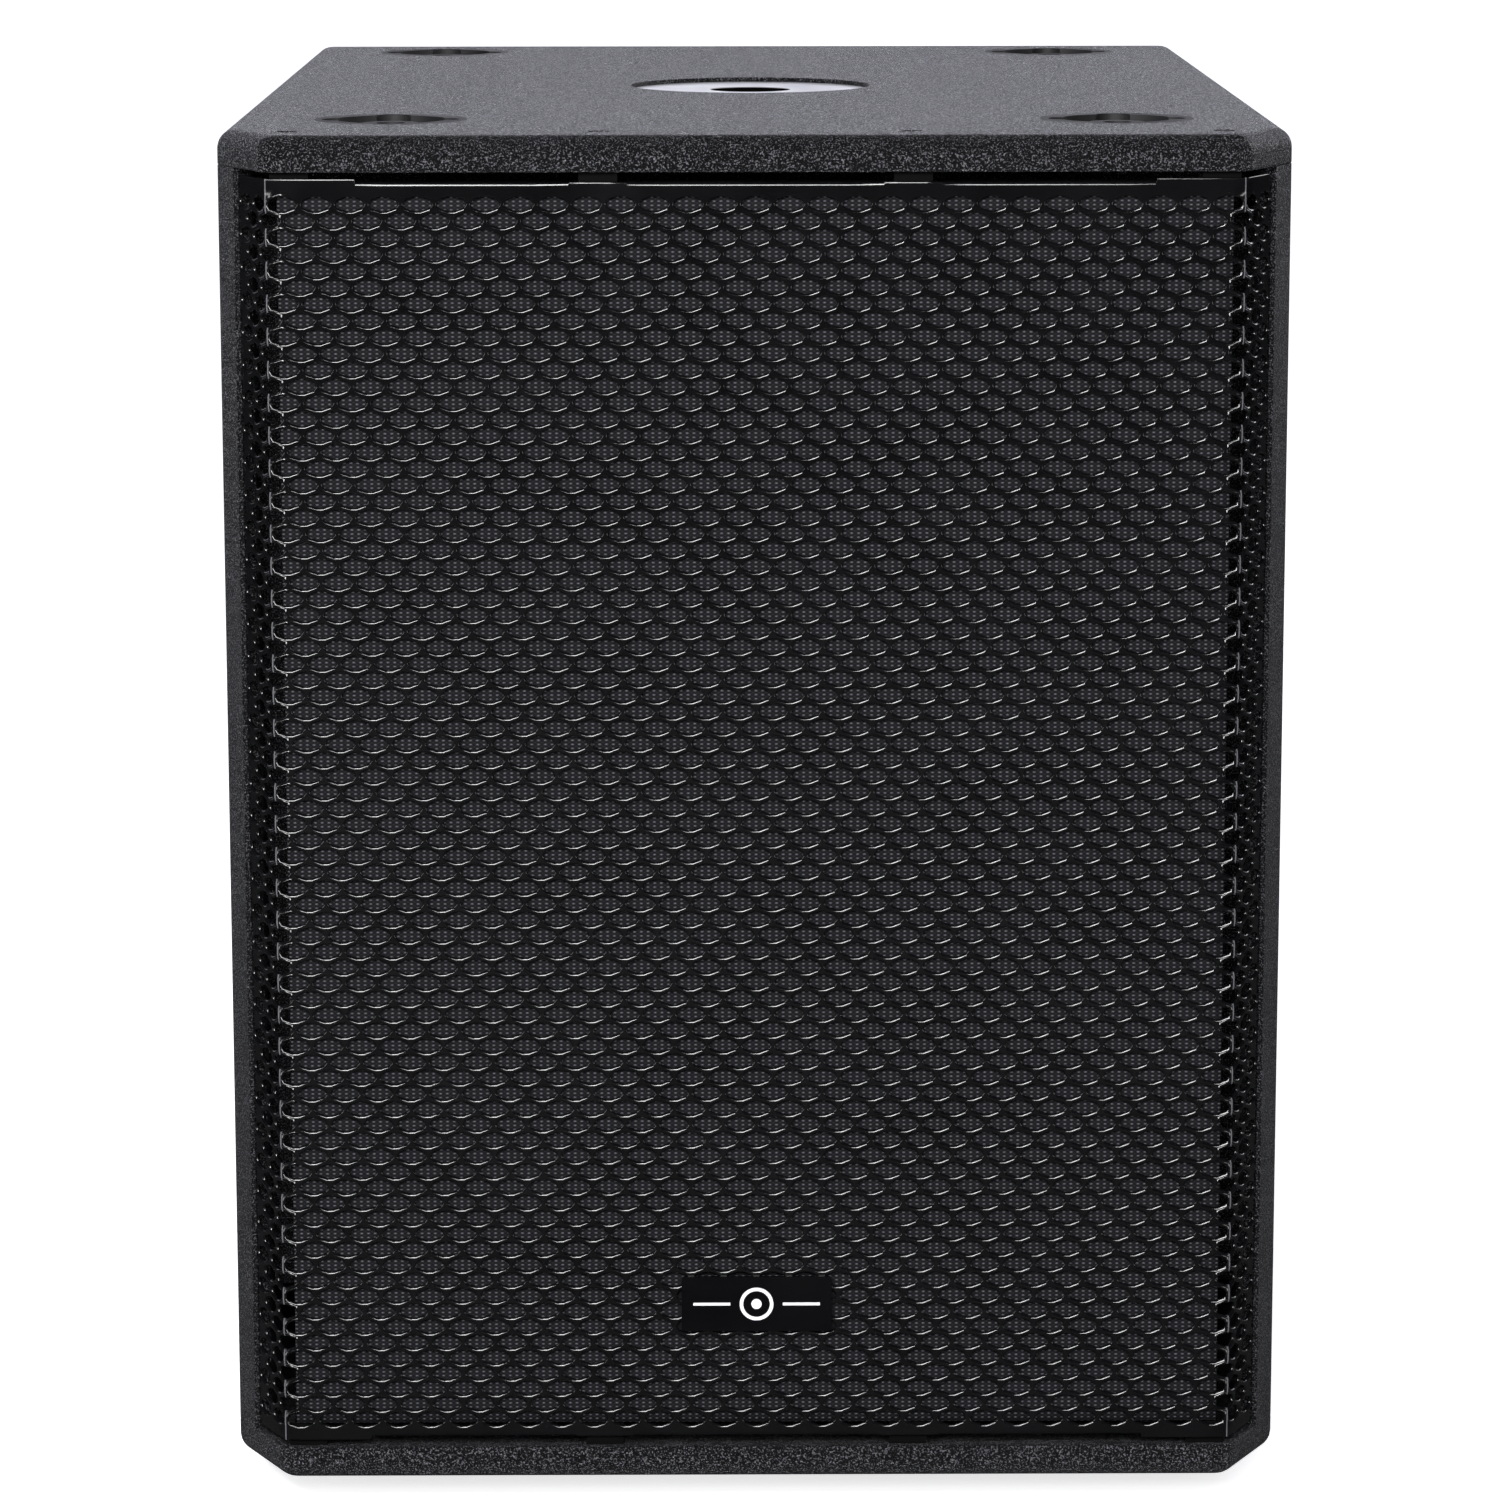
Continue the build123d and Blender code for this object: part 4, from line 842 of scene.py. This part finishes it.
reach, drop = studio["floorHalf"], studio["floorDrop"]
floorVerts = np.array([(-reach, -reach, -drop), (reach, -reach, -drop), (reach, reach, -drop), (-reach, reach, -drop)])
floorColour = (studio["floorTone"],) * 3
glossColour = (studio["floorGlossyTone"],) * 3
floorFinish = {"colour": floorColour, "rough": studio["floorRough"], "specular": studio["floorSpecular"]}
floorMaterial, floorTree, floorShader, _ = newMaterial("paleFloor", floorFinish)
path = floorTree.nodes.new("ShaderNodeLightPath")
shown = mixColour(floorTree, path.outputs["Is Glossy Ray"], floorColour, glossColour)
floorTree.links.new(shown, floorShader.inputs["Base Color"])
floorShader.inputs["Emission Color"].default_value = (1, 1, 1, 1)
glow = mathNode(floorTree, "MULTIPLY", path.outputs["Is Camera Ray"], studio["floorGlow"])
floorTree.links.new(glow, floorShader.inputs["Emission Strength"])
floor = newMesh("studioFloor", floorVerts, [(0, 1, 2, 3)], floorMaterial, smooth=False)

world = bpy.data.worlds.new("studioSky")
bpy.context.scene.world = world
world.use_nodes = True
sky = world.node_tree
background = sky.nodes["Background"]
direction = sky.nodes.new("ShaderNodeTexCoord")
splitSky = sky.nodes.new("ShaderNodeSeparateXYZ")
sky.links.new(direction.outputs["Generated"], splitSky.inputs[0])
skyPath = sky.nodes.new("ShaderNodeLightPath")
behind = rampNode(sky, splitSky.outputs["Y"], studio["behindFrom"], studio["behindFull"])
low = rampNode(sky, splitSky.outputs["Z"], studio["behindTop"], studio["behindFade"])
behind = mathNode(sky, "MULTIPLY", mathNode(sky, "MULTIPLY", behind, low), studio["skyBehind"])
ambient = mathNode(
    sky, "MULTIPLY_ADD", skyPath.outputs["Is Diffuse Ray"], studio["skyForDiffuse"], studio["skyForGloss"]
)
lit = mathNode(sky, "ADD", behind, ambient)
sky.links.new(mathNode(sky, "MAXIMUM", lit, skyPath.outputs["Is Camera Ray"]), background.inputs["Strength"])
sky.links.new(mixColour(sky, skyPath.outputs["Is Camera Ray"], studio["tint"], (1, 1, 1)), background.inputs["Color"])


def softbox(name, place, aim, size, power):
    # a rectangular light at a place, turned so that its -Z points from the place to the aim
    light = bpy.data.lights.new(name, "AREA")
    light.shape = "RECTANGLE"
    light.size, light.size_y = size
    light.energy = power
    lamp = bpy.data.objects.new(name, light)
    bpy.context.scene.collection.objects.link(lamp)
    lamp.location = place
    lamp.rotation_mode = "QUATERNION"
    lamp.rotation_quaternion = (Vector(aim) - Vector(place)).to_track_quat("-Z", "Y")
    lamp.visible_camera = False


# place and aim in metres, width and height, watts
softboxes = {
    "keySoftbox": ((-0.75, -2.15, 1.7), (0.0, -0.3, 0.6), (1.2, 0.42), 46.0),
    "frontSoftbox": ((-0.15, -3.2, 1.45), (0.0, -0.3, 0.5), (1.1, 0.6), 40.0),
    "leftStrip": ((-2.3, -1.75, 0.6), (0.0, -0.3, 0.4), (0.3, 1.3), 7.0),
    "rightStrip": ((2.3, -1.75, 0.6), (0.0, -0.3, 0.4), (0.3, 1.3), 6.0),
    "rearSoftbox": ((2.6, 2.4, 1.5), (0.0, 0.3, 0.3), (1.2, 1.0), 14.0),
}
for name, (place, aim, size, power) in softboxes.items():
    softbox(name, place, aim, size, power)


cameraSettings = {
    "focal": 132.96,
    "sensor": 36.0,
    "clip": (0.05, 60.0),
    "place": (-0.0179, -2.607, 0.7535),
    "pitchDown": 10.5,
    "yaw": 0.385,
    "roll": -0.055,
}
lens = bpy.data.cameras.new("studioCamera")
lens.lens = cameraSettings["focal"]
lens.sensor_width = cameraSettings["sensor"]
lens.clip_start, lens.clip_end = cameraSettings["clip"]
camera = bpy.data.objects.new("studioCamera", lens)
bpy.context.scene.collection.objects.link(camera)
camera.location = cameraSettings["place"]
pitchDown, yaw, roll = (math.radians(cameraSettings[turn]) for turn in ("pitchDown", "yaw", "roll"))
look = Matrix.Rotation(-yaw, 4, "Z") @ Matrix.Rotation(math.pi / 2 - pitchDown, 4, "X") @ Matrix.Rotation(roll, 4, "Z")
camera.rotation_mode = "QUATERNION"
camera.rotation_quaternion = look.to_quaternion()
bpy.context.scene.camera = camera
bpy.context.scene.view_settings.view_transform = "Standard"
print("stage: studio set")
